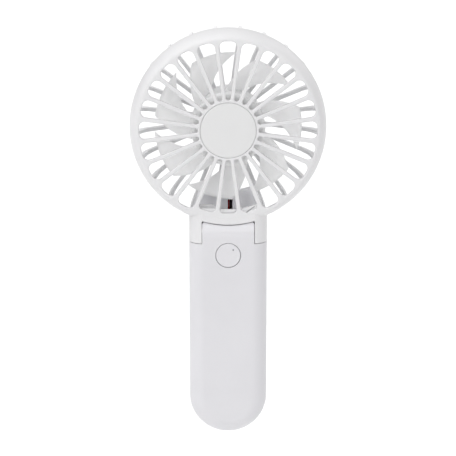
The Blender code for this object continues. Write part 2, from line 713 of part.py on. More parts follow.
def blade(name, number):
    """A pitched, swept blade. Its outer part leans clockwise seen from the front."""
    radial = (18.2, 22.7, 27.5, 32.5, BLADE_TIP_RADIUS)
    across = (-1.0, -0.5, 0.0, 0.5, 1.0)
    shift = math.radians(51.4286 * number + BLADE_TURN)
    top, bottom = [], []
    points = []
    for radius in radial:
        centre = -37.0 + (radius - 22.7) * 1.615
        half = 15.4 + (radius - 22.7) * 0.19
        lean = 6.6 - 2.6 * (radius - 18.0) / 19.5
        rows = ([], [])
        for s in across:
            turn = shift + math.radians(centre + half * s)
            pitch = lean * s - 0.9 * (1 - s * s)
            thick = 0.75 - 0.4 * s * s
            for row, side in zip(rows, (-1, 1)):
                points.append(
                    point(radius * math.sin(turn), pitch + side * thick, AXIS_HEIGHT + radius * math.cos(turn))
                )
                row.append(len(points) - 1)
        top.append(rows[0])
        bottom.append(rows[1])
    faces = []
    for grid in (top, bottom):
        for a, b in zip(grid, grid[1:]):
            for i in range(len(across) - 1):
                faces.append((a[i], a[i + 1], b[i + 1], b[i]))
    for i in range(len(across) - 1):
        faces.append((top[0][i], top[0][i + 1], bottom[0][i + 1], bottom[0][i]))
        faces.append((top[-1][i], top[-1][i + 1], bottom[-1][i + 1], bottom[-1][i]))
    for a in range(len(radial) - 1):
        for i in (0, -1):
            faces.append((top[a][i], top[a + 1][i], bottom[a + 1][i], bottom[a][i]))
    return object_from(name, points, faces)


def impeller():
    hub = lathe(
        "impeller",
        [(0, -7.6), (17.6, -7.6), (IMPELLER_HUB_RADIUS, -6.0), (IMPELLER_HUB_RADIUS, 8.6), (17.4, 8.6), (17.4, -5.6),
         (2.6, -5.6), (2.6, -2.2), (1.3, -2.2), (1.3, -5.9), (0, -5.9)],
        35, blade_white(), centre=(0, AXIS_HEIGHT),
    )
    blades = joined("blades", [blade("blade", k) for k in range(BLADE_COUNT)])
    return add(hub, blades)


def head_pieces():
    made = [front_grille()]
    centre = (0, AXIS_HEIGHT)
    cap = [(0, -13.0), (13.6, -13.0), (14.05, -12.9), (CAP_RADIUS, -12.6), (CAP_RADIUS, -11.5), (0, -11.5)]
    made.append(lathe("front_centre_cap", cap, 36, white(), centre=centre))
    made.append(rear_cover())
    made.append(box("wire_channel_cover", (-1.7, REAR_PLANE_Y - 2.6, 120.3), (1.7, REAR_PLANE_Y - 1.4, 144.6), white()))
    board = lathe("motor_board", [(3.4, 15.0), (11.6, 15.0), (11.6, 16.6), (3.4, 16.6)], 24, board_green(), centre=centre)
    for turn in MOTOR_SCREW_TURNS:
        spot = (MOTOR_SCREW_RADIUS * math.sin(turn), AXIS_HEIGHT + MOTOR_SCREW_RADIUS * math.cos(turn))
        cut(board, cylinder("board_hole", 1.1, 10, 20, 12, centre=spot, phase=0.11))
    made.append(board)
    made.append(stator("motor_stator"))
    made.append(
        lathe("motor_bush", [(1.05, 3.0), (3.0, 3.0), (3.0, 16.8), (1.05, 16.8)], 16, material("brass", (0.7, 0.55, 0.25), 0.3, 1.0), centre=centre)
    )
    for number, turn in enumerate(MOTOR_SCREW_TURNS, 1):
        spot = (MOTOR_SCREW_RADIUS * math.sin(turn), AXIS_HEIGHT + MOTOR_SCREW_RADIUS * math.cos(turn))
        profile = [(0, 14.0), (0.8, 14.0), (0.8, 18.5), (1.7, 18.5), (1.7, 19.2), (0, 19.2)]
        made.append(lathe(f"motor_screw_{number}", profile, 10, steel(), centre=spot))
    pivot = (PIVOT_Y, PIVOT_HEIGHT)
    hollow = [(PIN_BORE, -15.4), (PIN_RADIUS, -15.4), (PIN_RADIUS, -9.0), (2.9, -9.0), (2.9, -8.3), (PIN_BORE, -8.3)]
    made.append(lathe("hinge_pin_left", hollow, 20, steel(), axis="x", centre=pivot))
    solid = [(0, 8.3), (2.9, 8.3), (2.9, 9.0), (PIN_RADIUS, 9.0), (PIN_RADIUS, 17.9), (0, 17.9)]
    made.append(lathe("hinge_pin_right", solid, 20, steel(), axis="x", centre=pivot))
    # Out of the hollow pin, up inside the ear, across behind the neck's front plate,
    # back through its rear wall and up the channel to the motor's board.
    red_stops = [
        (-12.3, PIVOT_Y, PIVOT_HEIGHT + 0.55), (-15.5, PIVOT_Y, PIVOT_HEIGHT + 0.55), (-16.3, PIVOT_Y, 110.4), (-16.4, 7.4, 113.5),
        (-15.9, 7.3, 117.0), (-13.8, 7.9, 118.5), (-5.0, 8.4, 118.8), (-0.6, 8.9, 119.8), (0.65, 10.6, 122.2),
        (0.65, 13.2, 126.0), (0.65, 13.6, 131.0), (0.65, 13.6, 146.0), (0.65, 14.1, 152.6),
    ]
    black_stops = [
        (-12.3, PIVOT_Y, PIVOT_HEIGHT - 0.55), (-16.0, PIVOT_Y, PIVOT_HEIGHT - 0.55), (-17.3, PIVOT_Y, 109.6), (-17.4, 7.3, 113.5),
        (-17.0, 7.2, 117.6), (-14.6, 7.9, 119.9), (-5.4, 8.4, 120.1), (-1.9, 9.0, 121.0), (-0.65, 10.6, 123.2),
        (-0.65, 13.2, 127.0), (-0.65, 13.6, 132.0), (-0.65, 13.6, 146.0), (-0.65, 14.1, 152.6),
    ]
    made.append(wire("lead_red_head", red_stops, 0.4, red_wire(), steps=3))
    made.append(wire("lead_black_head", black_stops, 0.4, black_wire(), steps=3))
    return made


def rotor_pieces():
    centre = (0, AXIS_HEIGHT)
    can = lathe("rotor_can", [(1.4, -1.6), (12.6, -1.6), (13.2, -1.0), (13.2, 13.2), (12.4, 13.2), (12.4, -0.8), (1.4, -0.8)], 24, steel(), centre=centre)
    magnet = lathe("rotor_magnet_ring", [(11.0, 2.0), (12.1, 2.0), (12.1, 12.6), (11.0, 12.6)], 24, material("magnet", (0.12, 0.12, 0.13), 0.5, 0.6), centre=centre)
    shaft = cylinder("motor_shaft", 1.0, -5.5, 16.6, 16, steel(), centre=centre)
    return [impeller(), can, magnet, shaft]


# ---------------------------------------------------------------- assembly


def set_origin(piece, place):
    piece.data.transform(Matrix.Translation(-place))
    piece.location = place


def joint_empty(name, place):
    empty = bpy.data.objects.new(name, None)
    empty.location = place
    empty.empty_display_size = 0.01
    bpy.context.scene.collection.objects.link(empty)
    return empty


def hang(pieces, empty, parent_place):
    """Parents pieces to an empty on their joint's axis, with their origins there."""
    for piece in pieces:
        set_origin(piece, parent_place)
        piece.parent = empty
        piece.location = (0, 0, 0)


def smooth(piece):
    if piece.type == "MESH":
        piece.data.shade_smooth()
        piece.data.set_sharp_from_angle(angle=math.radians(30))


def main():
    remove_everything()
    handle = handle_pieces()
    button, plunger = button_pieces()
    head = head_pieces()
    rotor = rotor_pieces()
    for piece in handle + button + plunger + head + rotor:
        smooth(piece)

    tilt_place = point(0, PIVOT_Y, PIVOT_HEIGHT)
    spin_place = point(0, 0, AXIS_HEIGHT)
    press_place = point(0, -HANDLE_HALF_DEPTH, BUTTON_HEIGHT)
    tilt = joint_empty("head_tilt_axis", tilt_place)
    spin = joint_empty("rotor_spin_axis", spin_place - tilt_place)
    spin.parent = tilt
    press = joint_empty("button_press_axis", press_place)
    hang(head, tilt, tilt_place)
    hang(rotor, spin, spin_place)
    hang(button + plunger, press, press_place)


main()
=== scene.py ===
import json
import math

import bmesh
import bpy
from mathutils import Matrix, Vector

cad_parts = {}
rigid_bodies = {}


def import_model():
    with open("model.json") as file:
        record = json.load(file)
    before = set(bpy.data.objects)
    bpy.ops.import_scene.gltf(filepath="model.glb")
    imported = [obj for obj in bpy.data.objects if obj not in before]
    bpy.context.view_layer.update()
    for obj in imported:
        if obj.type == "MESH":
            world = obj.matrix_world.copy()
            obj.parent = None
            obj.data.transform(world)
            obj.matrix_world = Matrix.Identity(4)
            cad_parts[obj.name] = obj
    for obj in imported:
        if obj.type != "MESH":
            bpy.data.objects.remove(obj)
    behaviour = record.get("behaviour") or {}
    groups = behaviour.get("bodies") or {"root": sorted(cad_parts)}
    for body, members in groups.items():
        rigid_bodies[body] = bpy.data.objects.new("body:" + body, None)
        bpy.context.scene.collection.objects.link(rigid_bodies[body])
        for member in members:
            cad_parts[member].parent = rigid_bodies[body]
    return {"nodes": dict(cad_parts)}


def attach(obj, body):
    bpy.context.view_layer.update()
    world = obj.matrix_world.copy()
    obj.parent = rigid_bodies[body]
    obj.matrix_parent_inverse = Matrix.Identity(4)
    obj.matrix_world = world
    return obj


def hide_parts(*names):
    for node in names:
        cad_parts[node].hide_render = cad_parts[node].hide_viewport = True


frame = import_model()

for old in list(bpy.data.objects):
    if old.type in ("CAMERA", "LIGHT") or (old.type == "MESH" and old.name not in frame["nodes"]):
        bpy.data.objects.remove(old, do_unlink=True)
bpy.context.view_layer.update()

MM = 0.001

# The model's driving sizes, in millimetres. Heights are above the handle's lower tip.
GRIP_HEIGHT = 52.0
HALF_WIDTH, HALF_DEPTH = 20.15, 12.5
FRONT_FILLET, BACK_FILLET, WALL, SEAM = 8.0, 7.0, 1.8, 0.15
SHOULDER, TONGUE_HALF, TONGUE_TOP, TONGUE_RISE = 103.7, 13.4, 113.36, 1.9
PIVOT_Y, PIVOT_H, KNUCKLE = 7.6, 108.7, 4.8
EAR_BOTTOM, NECK_GAP, PIN_RADIUS = 104.0, 0.66, 1.9
AXIS_H = 163.3
RIM_R, RIM_Y = 50.5, -1.0
SLOTS, SLOT_IN, SLOT_OUT, SLOT_OUT_NECK = 24, 15.5, 45.4, 43.4
SPOKE_IN, SPOKE_OUT = 1.87, 2.25
CAP_R, SPLIT_Y, REAR_Y = 14.2, 5.0, 21.0
RIB_WIDTH, HUB_R = 1.8, 18.0
BLADES, FAN_HUB_R, BLADE_TIP, BLADE_TURN = 7, 19.0, 37.9, 1.7
BUTTON_H, BUTTON_R, BUTTON_HOLE = 97.65, 6.38, 6.57
SCREW_X, SCREW_HEIGHTS = 13.7, (27.0, 92.0)
MOTOR_SCREW_R = 9.0
FLOOR_R, FLOOR_Z = 7.0, -0.26

# ---------------------------------------------------------------- camera, light, floor

ELEVATION = math.radians(14.0)
AZIMUTH = math.radians(-0.5)
DISTANCE = 1.050
TARGET = Vector((0.0, 0.0, 0.0572))


def camera():
    data = bpy.data.cameras.new("camera")
    data.sensor_width = 36.0
    data.lens = 159.4
    data.clip_start, data.clip_end = 0.05, 60.0
    made = bpy.data.objects.new("camera", data)
    bpy.context.scene.collection.objects.link(made)
    back = Vector((math.sin(AZIMUTH) * math.cos(ELEVATION), -math.cos(AZIMUTH) * math.cos(ELEVATION), math.sin(ELEVATION)))
    made.location = TARGET + back * DISTANCE
    made.rotation_mode = "QUATERNION"
    made.rotation_quaternion = (-back).to_track_quat("-Z", "Y")
    bpy.context.scene.camera = made


def soft_light(name, direction, share, spread, colour=(1.0, 1.0, 1.0)):
    """A broad even light from one direction. Its share is what a white surface facing it sends back."""
    data = bpy.data.lights.new(name, "SUN")
    data.energy = share * math.pi
    data.angle = math.radians(spread)
    data.color = colour
    made = bpy.data.objects.new(name, data)
    bpy.context.scene.collection.objects.link(made)
    towards = Vector(direction).normalized()
    made.location = towards * 2.0
    made.rotation_mode = "QUATERNION"
    made.rotation_quaternion = (-towards).to_track_quat("-Z", "Y")
    return made


def studio():
    world = bpy.data.worlds.new("studio")
    bpy.context.scene.world = world
    world.use_nodes = True
    tree = world.node_tree
    tree.nodes.clear()
    out = tree.nodes.new("ShaderNodeOutputWorld")
    fill = tree.nodes.new("ShaderNodeBackground")
    fill.inputs["Color"].default_value = (0.985, 0.985, 1.0, 1.0)
    fill.inputs["Strength"].default_value = 0.202
    seen = tree.nodes.new("ShaderNodeBackground")
    seen.inputs["Color"].default_value = (1.0, 1.0, 1.0, 1.0)
    seen.inputs["Strength"].default_value = 1.05
    path = tree.nodes.new("ShaderNodeLightPath")
    mix = tree.nodes.new("ShaderNodeMixShader")
    tree.links.new(path.outputs["Is Camera Ray"], mix.inputs["Fac"])
    tree.links.new(fill.outputs["Background"], mix.inputs[1])
    tree.links.new(seen.outputs["Background"], mix.inputs[2])
    tree.links.new(mix.outputs["Shader"], out.inputs["Surface"])
    soft_light("front_left_panel", (-0.35, -1.0, 0.30), 0.070, 14.0)
    soft_light("front_right_panel", (0.35, -1.0, 0.30), 0.029, 14.0)
    soft_light("wide_left_panel", (-0.8, -1.0, 0.3), 0.066, 60.0)
    soft_light("wide_right_panel", (0.8, -1.0, 0.3), 0.185, 60.0)
    soft_light("side_panel", (-1.0, -0.25, 0.25), 0.105, 70.0)
    soft_light("high_left_panel", (-0.6, -0.8, 0.8), 0.027, 50.0)
    soft_light("top_panel", (0.0, -0.2, 1.0), 0.423, 75.0)
    soft_light("top_left_panel", (-0.7, -0.3, 1.0), 0.424, 75.0)
    soft_light("back_panel", (0.0, 0.9, 0.7), 0.161, 70.0)
    soft_light("back_left_panel", (-0.9, 0.7, 0.3), 0.028, 60.0)
    soft_light("back_right_panel", (0.9, 0.7, 0.3), 0.223, 60.0)
    scene = bpy.context.scene
    scene.view_settings.view_transform = "Standard"
    scene.view_settings.look = "None"
    scene.view_settings.exposure = 0.0
    scene.view_settings.gamma = 1.0


# ---------------------------------------------------------------- shape helpers


def point(x, y, height):
    return Vector((x * MM, y * MM, (height - GRIP_HEIGHT) * MM))


def solid(name, points, faces):
    """A closed mesh object from points in metres, faces turned outwards."""
    mesh = bpy.data.meshes.new(name)
    shape = bmesh.new()
    corners = [shape.verts.new(p) for p in points]
    for face in faces:
        shape.faces.new([corners[i] for i in face])
    bmesh.ops.remove_doubles(shape, verts=shape.verts, dist=2e-7)
    bmesh.ops.recalc_face_normals(shape, faces=shape.faces)
    shape.to_mesh(mesh)
    shape.free()
    made = bpy.data.objects.new(name, mesh)
    bpy.context.scene.collection.objects.link(made)
    return made


def band(faces, low, high, closed=True):
    """Quads between two rows of point numbers."""
    count = len(low)
    for i in range(count if closed else count - 1):
        j = (i + 1) % count
        faces.append((low[i], low[j], high[j], high[i]))


def rounded(corners, steps=4, closed=False):
    """A polyline with its corners rounded. Corners are (a, b, radius)."""
    line = []
    count = len(corners)
    for i, corner in enumerate(corners):
        radius = corner[2] if len(corner) > 2 else 0.0
        here = Vector(corner[:2])
        if radius <= 0.0 or (not closed and i in (0, count - 1)):
            line.append((here.x, here.y))
            continue
        before, after = Vector(corners[i - 1][:2]) - here, Vector(corners[(i + 1) % count][:2]) - here
        into, out = before.normalized(), after.normalized()
        half = 0.5 * math.acos(max(-1.0, min(1.0, into.dot(out))))
        if half > 0.5 * math.pi - 0.01:
            line.append((here.x, here.y))
            continue
        reach = min(radius / math.tan(half), 0.49 * before.length, 0.49 * after.length)
        radius = reach * math.tan(half)
        centre = here + (into + out).normalized() * (radius / math.sin(half))
        a = here + into * reach - centre
        b = here + out * reach - centre
        start = math.atan2(a.y, a.x)
        sweep = (math.atan2(b.y, b.x) - start + math.pi) % (2 * math.pi) - math.pi
        for k in range(steps + 1):
            turn = start + sweep * k / steps
            line.append((centre.x + radius * math.cos(turn), centre.y + radius * math.sin(turn)))
    return line


def lathe(name, profile, segments, axis="y", centre=(0.0, 0.0), phase=0.0):
    """A solid turned about an axis. The profile is (radius, along) pairs. It starts and
    ends on the axis, or else it closes on itself as a ring."""
    on_axis = profile[0][0] == 0.0
    points, rings = [], []

    def place(radius, along, turn):
        a, b = radius * math.sin(turn), radius * math.cos(turn)
        if axis == "y":
            return point(centre[0] + a, along, centre[1] + b)
        if axis == "x":
            return point(along, centre[0] + a, centre[1] + b)
        return point(centre[0] + a, centre[1] + b, along)

    for radius, along in profile:
        start = len(points)
        if radius == 0.0:
            points.append(place(0.0, along, 0.0))
            rings.append([start] * segments)
        else:
            for i in range(segments):
                points.append(place(radius, along, phase + 2 * math.pi * i / segments))
            rings.append([start + i for i in range(segments)])
    pairs = list(zip(rings, rings[1:]))
    if not on_axis:
        pairs.append((rings[-1], rings[0]))
    faces = []
    for low, high in pairs:
        for i in range(segments):
            j = (i + 1) % segments
            loop = []
            for corner in (low[i], low[j], high[j], high[i]):
                if corner not in loop:
                    loop.append(corner)
            if len(loop) > 2:
                faces.append(loop)
    return solid(name, points, faces)


def rod(name, radius, start, end, segments, axis="y", centre=(0.0, 0.0), phase=0.0):
    return lathe(name, [(0.0, start), (radius, start), (radius, end), (0.0, end)], segments, axis, centre, phase)


def block(name, low, high):
    (x0, y0, z0), (x1, y1, z1) = low, high
    points = [point(x, y, z) for x in (x0, x1) for y in (y0, y1) for z in (z0, z1)]
    faces = [(0, 1, 3, 2), (4, 6, 7, 5), (0, 4, 5, 1), (2, 3, 7, 6), (0, 2, 6, 4), (1, 5, 7, 3)]
    return solid(name, points, faces)


def soft_block(name, low, high, edge, steps=3):
    """A block with its edges rounded, built as a rounded outline with rounded end rows."""
    (x0, y0, z0), (x1, y1, z1) = low, high
    edge = min(edge, 0.45 * (x1 - x0), 0.45 * (y1 - y0), 0.45 * (z1 - z0))
    rows = []
    points, faces = [], []
    for end in (0, 1):
        for k in range(steps + 1):
            turn = 0.5 * math.pi * (k / steps if end == 0 else 1 - k / steps)
            inset = edge * (1 - math.sin(turn))
            lift = edge * (1 - math.cos(turn))
            y = y0 + lift if end == 0 else y1 - lift
            outline = rounded(
                [(x0 + inset, z0 + inset, edge), (x1 - inset, z0 + inset, edge), (x1 - inset, z1 - inset, edge), (x0 + inset, z1 - inset, edge)],
                steps, True,
            )
            start = len(points)
            points += [point(x, y, z) for x, z in outline]
            rows.append(list(range(start, start + len(outline))))
    for low_row, high_row in zip(rows, rows[1:]):
        band(faces, low_row, high_row)
    faces += [rows[0][::-1], rows[-1]]
    return solid(name, points, faces)


def prism(name, outline, low, high, axis="y"):
    count = len(outline)
    points = []
    for along in (low, high):
        for a, b in outline:
            points.append(point(a, along, b) if axis == "y" else point(along, a, b))
    faces = [list(range(count)), list(range(count, 2 * count))]
    band(faces, list(range(count)), list(range(count, 2 * count)))
    return solid(name, points, faces)


def combine(target, other, operation, solver="MANIFOLD"):
    step = target.modifiers.new("shape", "BOOLEAN")
    step.operation = operation
    step.solver = solver
    step.object = other
    bpy.context.view_layer.update()
    graph = bpy.context.evaluated_depsgraph_get()
    result = bpy.data.meshes.new_from_object(target.evaluated_get(graph))
    target.modifiers.remove(step)
    old = target.data
    target.data = result
    result.name = target.name
    bpy.data.meshes.remove(old)
    bpy.data.objects.remove(other, do_unlink=True)
    return target


def cut(target, *others):
    for other in others:
        combine(target, other, "DIFFERENCE")
    return target


def add(target, *others):
    for other in others:
        combine(target, other, "UNION")
    return target


def keep(target, other):
    return combine(target, other, "INTERSECT")


def joined(name, pieces):
    points, faces = [], []
    for piece in pieces:
        start = len(points)
        points += [v.co.copy() for v in piece.data.vertices]
        faces += [[start + i for i in p.vertices] for p in piece.data.polygons]
        bpy.data.objects.remove(piece, do_unlink=True)
    return solid(name, points, faces)


def tidy(piece, angle=32.0):
    """Removes slivers that a Boolean leaves, and sets normals that follow the large faces."""
    shape = bmesh.new()
    shape.from_mesh(piece.data)
    bmesh.ops.remove_doubles(shape, verts=shape.verts, dist=1.5e-6)
    bmesh.ops.dissolve_degenerate(shape, edges=shape.edges, dist=1.5e-6)
    bmesh.ops.recalc_face_normals(shape, faces=shape.faces)
    shape.to_mesh(piece.data)
    shape.free()
    piece.data.shade_smooth()
    piece.data.set_sharp_from_angle(angle=math.radians(angle))
    step = piece.modifiers.new("normals", "WEIGHTED_NORMAL")
    step.keep_sharp = True
    step.weight = 60
    return piece


def smooth_path(stops, steps):
    stops = [Vector(s) for s in stops]
    path = []
    for i in range(len(stops) - 1):
        a, b, c = stops[max(i - 1, 0)], stops[i], stops[i + 1]
        d = stops[min(i + 2, len(stops) - 1)]
        for k in range(steps):
            t = k / steps
            path.append(0.5 * (2 * b + (c - a) * t + (2 * a - 5 * b + 4 * c - d) * t**2 + (3 * b - a - 3 * c + d) * t**3))
    path.append(stops[-1])
    return path


def tube(name, stops, radius, steps=6, sides=14):
    """A round wire along a smooth path, with rounded ends."""
    path = smooth_path(stops, steps)
    points, rows, faces = [], [], []
    along = (path[1] - path[0]).normalized()
    side = along.cross(Vector((0.3, 0.2, 1.0))).normalized()
    for i, place in enumerate(path):
        ahead = path[min(i + 1, len(path) - 1)] - path[max(i - 1, 0)]
        along = ahead.normalized()
        side = (side - along * side.dot(along)).normalized()
        other = along.cross(side)
        stations = [(place, radius)]
        if i == 0:
            stations = [(place, 0.55 * radius), (place + along * 0.12 * radius, 0.88 * radius), (place + along * 0.35 * radius, radius)]
        if i == len(path) - 1:
            stations = [(place - along * 0.35 * radius, radius), (place - along * 0.12 * radius, 0.88 * radius), (place, 0.55 * radius)]
        for middle, width in stations:
            start = len(points)
            for k in range(sides):
                turn = 2 * math.pi * k / sides
                spot = middle + (side * math.cos(turn) + other * math.sin(turn)) * width
                points.append(point(*spot))
            rows.append(list(range(start, start + sides)))
    for low, high in zip(rows, rows[1:]):
        band(faces, low, high)
    faces += [rows[0], rows[-1]]
    return solid(name, points, faces)


# ---------------------------------------------------------------- materials


class Look:
    """A node material under construction, read from object coordinates in metres."""

    def __init__(self, name):
        self.made = bpy.data.materials.new(name)
        self.made.use_nodes = True
        self.tree = self.made.node_tree
        self.shader = self.tree.nodes["Principled BSDF"]
        self.where = self.tree.nodes.new("ShaderNodeTexCoord").outputs["Object"]

    def node(self, kind, **settings):
        made = self.tree.nodes.new(kind)
        for key, value in settings.items():
            setattr(made, key, value)
        return made

    def link(self, output, target):
        self.tree.links.new(output, target)

    def stretched(self, scale, turn=(0.0, 0.0, 0.0), move=(0.0, 0.0, 0.0)):
        made = self.node("ShaderNodeMapping")
        made.inputs["Scale"].default_value = scale
        made.inputs["Rotation"].default_value = turn
        made.inputs["Location"].default_value = move
        self.link(self.where, made.inputs["Vector"])
        return made.outputs["Vector"]

    def noise(self, scale, detail=2.0, rough=0.5, where=None, distortion=0.0):
        made = self.node("ShaderNodeTexNoise")
        made.inputs["Scale"].default_value = scale
        made.inputs["Detail"].default_value = detail
        made.inputs["Roughness"].default_value = rough
        made.inputs["Distortion"].default_value = distortion
        self.link(where or self.where, made.inputs["Vector"])
        return made.outputs["Fac"]

    def cells(self, scale, where=None, feature="F1", out="Distance"):
        made = self.node("ShaderNodeTexVoronoi", feature=feature)
        made.inputs["Scale"].default_value = scale
        self.link(where or self.where, made.inputs["Vector"])
        return made.outputs[out]

    def waves(self, scale, kind="BANDS", direction="X", where=None, distortion=0.0, detail=0.0):
        made = self.node("ShaderNodeTexWave", wave_type=kind)
        if kind == "BANDS":
            made.bands_direction = direction
        else:
            made.rings_direction = direction
        made.inputs["Scale"].default_value = scale
        made.inputs["Distortion"].default_value = distortion
        made.inputs["Detail"].default_value = detail
        self.link(where or self.where, made.inputs["Vector"])
        return made.outputs["Fac"]

    def ramp(self, value, *stops):
        made = self.node("ShaderNodeValToRGB")
        ramp = made.color_ramp
        while len(ramp.elements) < len(stops):
            ramp.elements.new(0.5)
        for element, (position, colour) in zip(ramp.elements, stops):
            element.position = position
            element.color = (*colour, 1.0)
        self.link(value, made.inputs["Fac"])
        return made.outputs["Color"]

    def spread(self, value, low, high, from_low=0.3, from_high=0.7):
        made = self.node("ShaderNodeMapRange")
        made.inputs["From Min"].default_value = from_low
        made.inputs["From Max"].default_value = from_high
        made.inputs["To Min"].default_value = low
        made.inputs["To Max"].default_value = high
        self.link(value, made.inputs["Value"])
        return made.outputs["Result"]

    def blend(self, share, first, second, mode="MIX"):
        made = self.node("ShaderNodeMix", data_type="RGBA", blend_type=mode)
        if isinstance(share, float):
            made.inputs[0].default_value = share
        else:
            self.link(share, made.inputs[0])
        self.link(first, made.inputs[6])
        self.link(second, made.inputs[7])
        return made.outputs[2]

    def bump(self, value, strength, distance, under=None):
        made = self.node("ShaderNodeBump")
        made.inputs["Strength"].default_value = strength
        made.inputs["Distance"].default_value = distance
        self.link(value, made.inputs["Height"])
        if under is not None:
            self.link(under, made.inputs["Normal"])
        return made.outputs["Normal"]

    def wear(self, colour=None, roughness=None, normal=None, **flat):
        if colour is not None:
            self.link(colour, self.shader.inputs["Base Color"])
        if roughness is not None:
            self.link(roughness, self.shader.inputs["Roughness"])
        if normal is not None:
            self.link(normal, self.shader.inputs["Normal"])
        for key, value in flat.items():
            self.shader.inputs[key.replace("_", " ")].default_value = value
        return self.made


def moulded(name, colour, drift=0.02, rough=(0.36, 0.46), grain=3600.0, relief=0.10, warm=0.0, through=0.0, painted_top_highlight=None, box=None):
    """Satin moulded plastic: a slow drift of shade, faint flow clouding and a fine spark texture."""
    look = Look(name)
    low = tuple(c * (1 - drift) for c in colour)
    high = (min(1.0, colour[0] * (1 + 0.6 * drift) + warm), min(1.0, colour[1] * (1 + 0.6 * drift)), min(1.0, colour[2] * (1 + 0.4 * drift)))
    clouds = look.ramp(look.noise(38.0, 3.0, 0.55, distortion=0.4), (0.28, low), (0.52, colour), (0.76, high))
    flecks = look.ramp(look.noise(1900.0, 2.0, 0.6), (0.35, (0.985,) * 3), (0.65, (1.0,) * 3))
    tone = look.blend(1.0, clouds, flecks, "MULTIPLY")
    if painted_top_highlight:
        # Painted highlight: the white is made lighter towards the tongue's top edge, standing in for light falling
        # there.
        parts = look.node("ShaderNodeSeparateXYZ")
        look.link(look.where, parts.inputs["Vector"])
        share = look.spread(parts.outputs["Z"], 0.0, 1.0, painted_top_highlight[0], painted_top_highlight[1])
        tone = look.blend(1.0, tone, look.ramp(share, (0.0, (1.0,) * 3), (0.5, (1.0 + 0.32 * painted_top_highlight[2],) * 3), (1.0, (1.0 + painted_top_highlight[2],) * 3)), "MULTIPLY")
    if box:
        # Painted light: a lighter white on the front plate of the box behind the neck, standing in for light that does
        # not reach it there.
        parts = look.node("ShaderNodeSeparateXYZ")
        look.link(look.where, parts.inputs["Vector"])
        aside = look.node("ShaderNodeMath", operation="ABSOLUTE")
        look.link(parts.outputs["X"], aside.inputs[0])
        within = look.node("ShaderNodeMath", operation="MULTIPLY")
        look.link(look.spread(aside.outputs["Value"], 1.0, 0.0, box[0] - 0.0004, box[0]), within.inputs[0])
        look.link(look.spread(parts.outputs["Z"], 1.0, 0.0, box[1] - 0.0004, box[1]), within.inputs[1])
        front = look.node("ShaderNodeMath", operation="MULTIPLY")
        look.link(within.outputs["Value"], front.inputs[0])
        look.link(look.spread(parts.outputs["Y"], 1.0, 0.0, box[3] - 0.003, box[3]), front.inputs[1])
        tone = look.blend(1.0, tone, look.ramp(front.outputs["Value"], (0.0, (1.0,) * 3), (1.0, (box[2],) * 2 + (box[2] * 1.02,))), "MULTIPLY")
    sheen = look.spread(look.noise(210.0, 3.0, 0.6), rough[0], rough[1])
    fine = look.bump(look.noise(grain, 2.0, 0.5), relief, 0.00006)
    wavy = look.bump(look.noise(60.0, 1.0, 0.4), 0.06, 0.0004, fine)
    made = look.wear(tone, sheen, wavy, IOR=1.47, Coat_Weight=0.0)
    if through:
        # Thin white plastic lets a little light through.
        look.wear(Subsurface_Weight=1.0, Subsurface_Radius=(1.0, 1.0, 1.0), Subsurface_Scale=through)
    return made


def metal(name, colour, rough=(0.22, 0.38), stretch=(40.0, 40.0, 900.0), tint=0.1):
    """Plated or turned metal with fine drawn lines."""
    look = Look(name)
    lines = look.noise(1.0, 3.0, 0.6, where=look.stretched(stretch))
    tone = look.ramp(lines, (0.3, tuple(c * (1 - tint) for c in colour)), (0.7, tuple(min(1.0, c * (1 + tint)) for c in colour)))
    haze = look.spread(look.noise(260.0, 3.0, 0.6), rough[0], rough[1])
    return look.wear(tone, haze, look.bump(lines, 0.15, 0.00003), Metallic=1.0)


def insulation(name, colour, rough=(0.4, 0.55)):
    look = Look(name)
    tone = look.ramp(look.noise(300.0, 3.0, 0.6), (0.3, tuple(c * 0.82 for c in colour)), (0.7, tuple(min(1.0, c * 1.15) for c in colour)))
    return look.wear(tone, look.spread(look.noise(700.0, 2.0, 0.5), *rough), look.bump(look.noise(2400.0, 2.0, 0.5), 0.15, 0.00004))


def green_board(name):
    """Solder mask over copper tracks, with bright pads."""
    look = Look(name)
    mask = look.ramp(look.noise(140.0, 3.0, 0.5), (0.3, (0.018, 0.135, 0.06)), (0.7, (0.035, 0.19, 0.085)))
    tracks = look.node("ShaderNodeTexBrick", offset=0.5, squash=1.0)
    tracks.inputs["Scale"].default_value = 1.0
    tracks.inputs["Mortar Size"].default_value = 0.09
    tracks.inputs["Mortar Smooth"].default_value = 0.1
    tracks.inputs["Brick Width"].default_value = 1.7
    tracks.inputs["Row Height"].default_value = 0.8
    tracks.inputs["Color1"].default_value = (0, 0, 0, 1)
    tracks.inputs["Color2"].default_value = (0, 0, 0, 1)
    tracks.inputs["Mortar"].default_value = (1, 1, 1, 1)
    look.link(look.stretched((520.0, 520.0, 520.0), (math.pi / 2, 0, 0)), tracks.inputs["Vector"])
    line = look.ramp(tracks.outputs["Color"], (0.0, (0, 0, 0)), (1.0, (1, 1, 1)))
    light = look.ramp(look.noise(90.0, 1.0, 0.5), (0.0, (0.05, 0.27, 0.12)), (1.0, (0.07, 0.31, 0.14)))
    base = look.blend(line, mask, light)
    dots = look.cells(420.0)
    pad = look.ramp(dots, (0.10, (1, 1, 1)), (0.14, (0, 0, 0)))
    solder = look.ramp(look.noise(900.0, 2.0, 0.5), (0.0, (0.55, 0.53, 0.46)), (1.0, (0.72, 0.70, 0.62)))
    tone = look.blend(pad, base, solder)
    height = look.blend(0.5, line, pad, "ADD")
    return look.wear(tone, look.spread(look.noise(500.0, 2.0, 0.5), 0.25, 0.4), look.bump(height, 0.3, 0.00008))


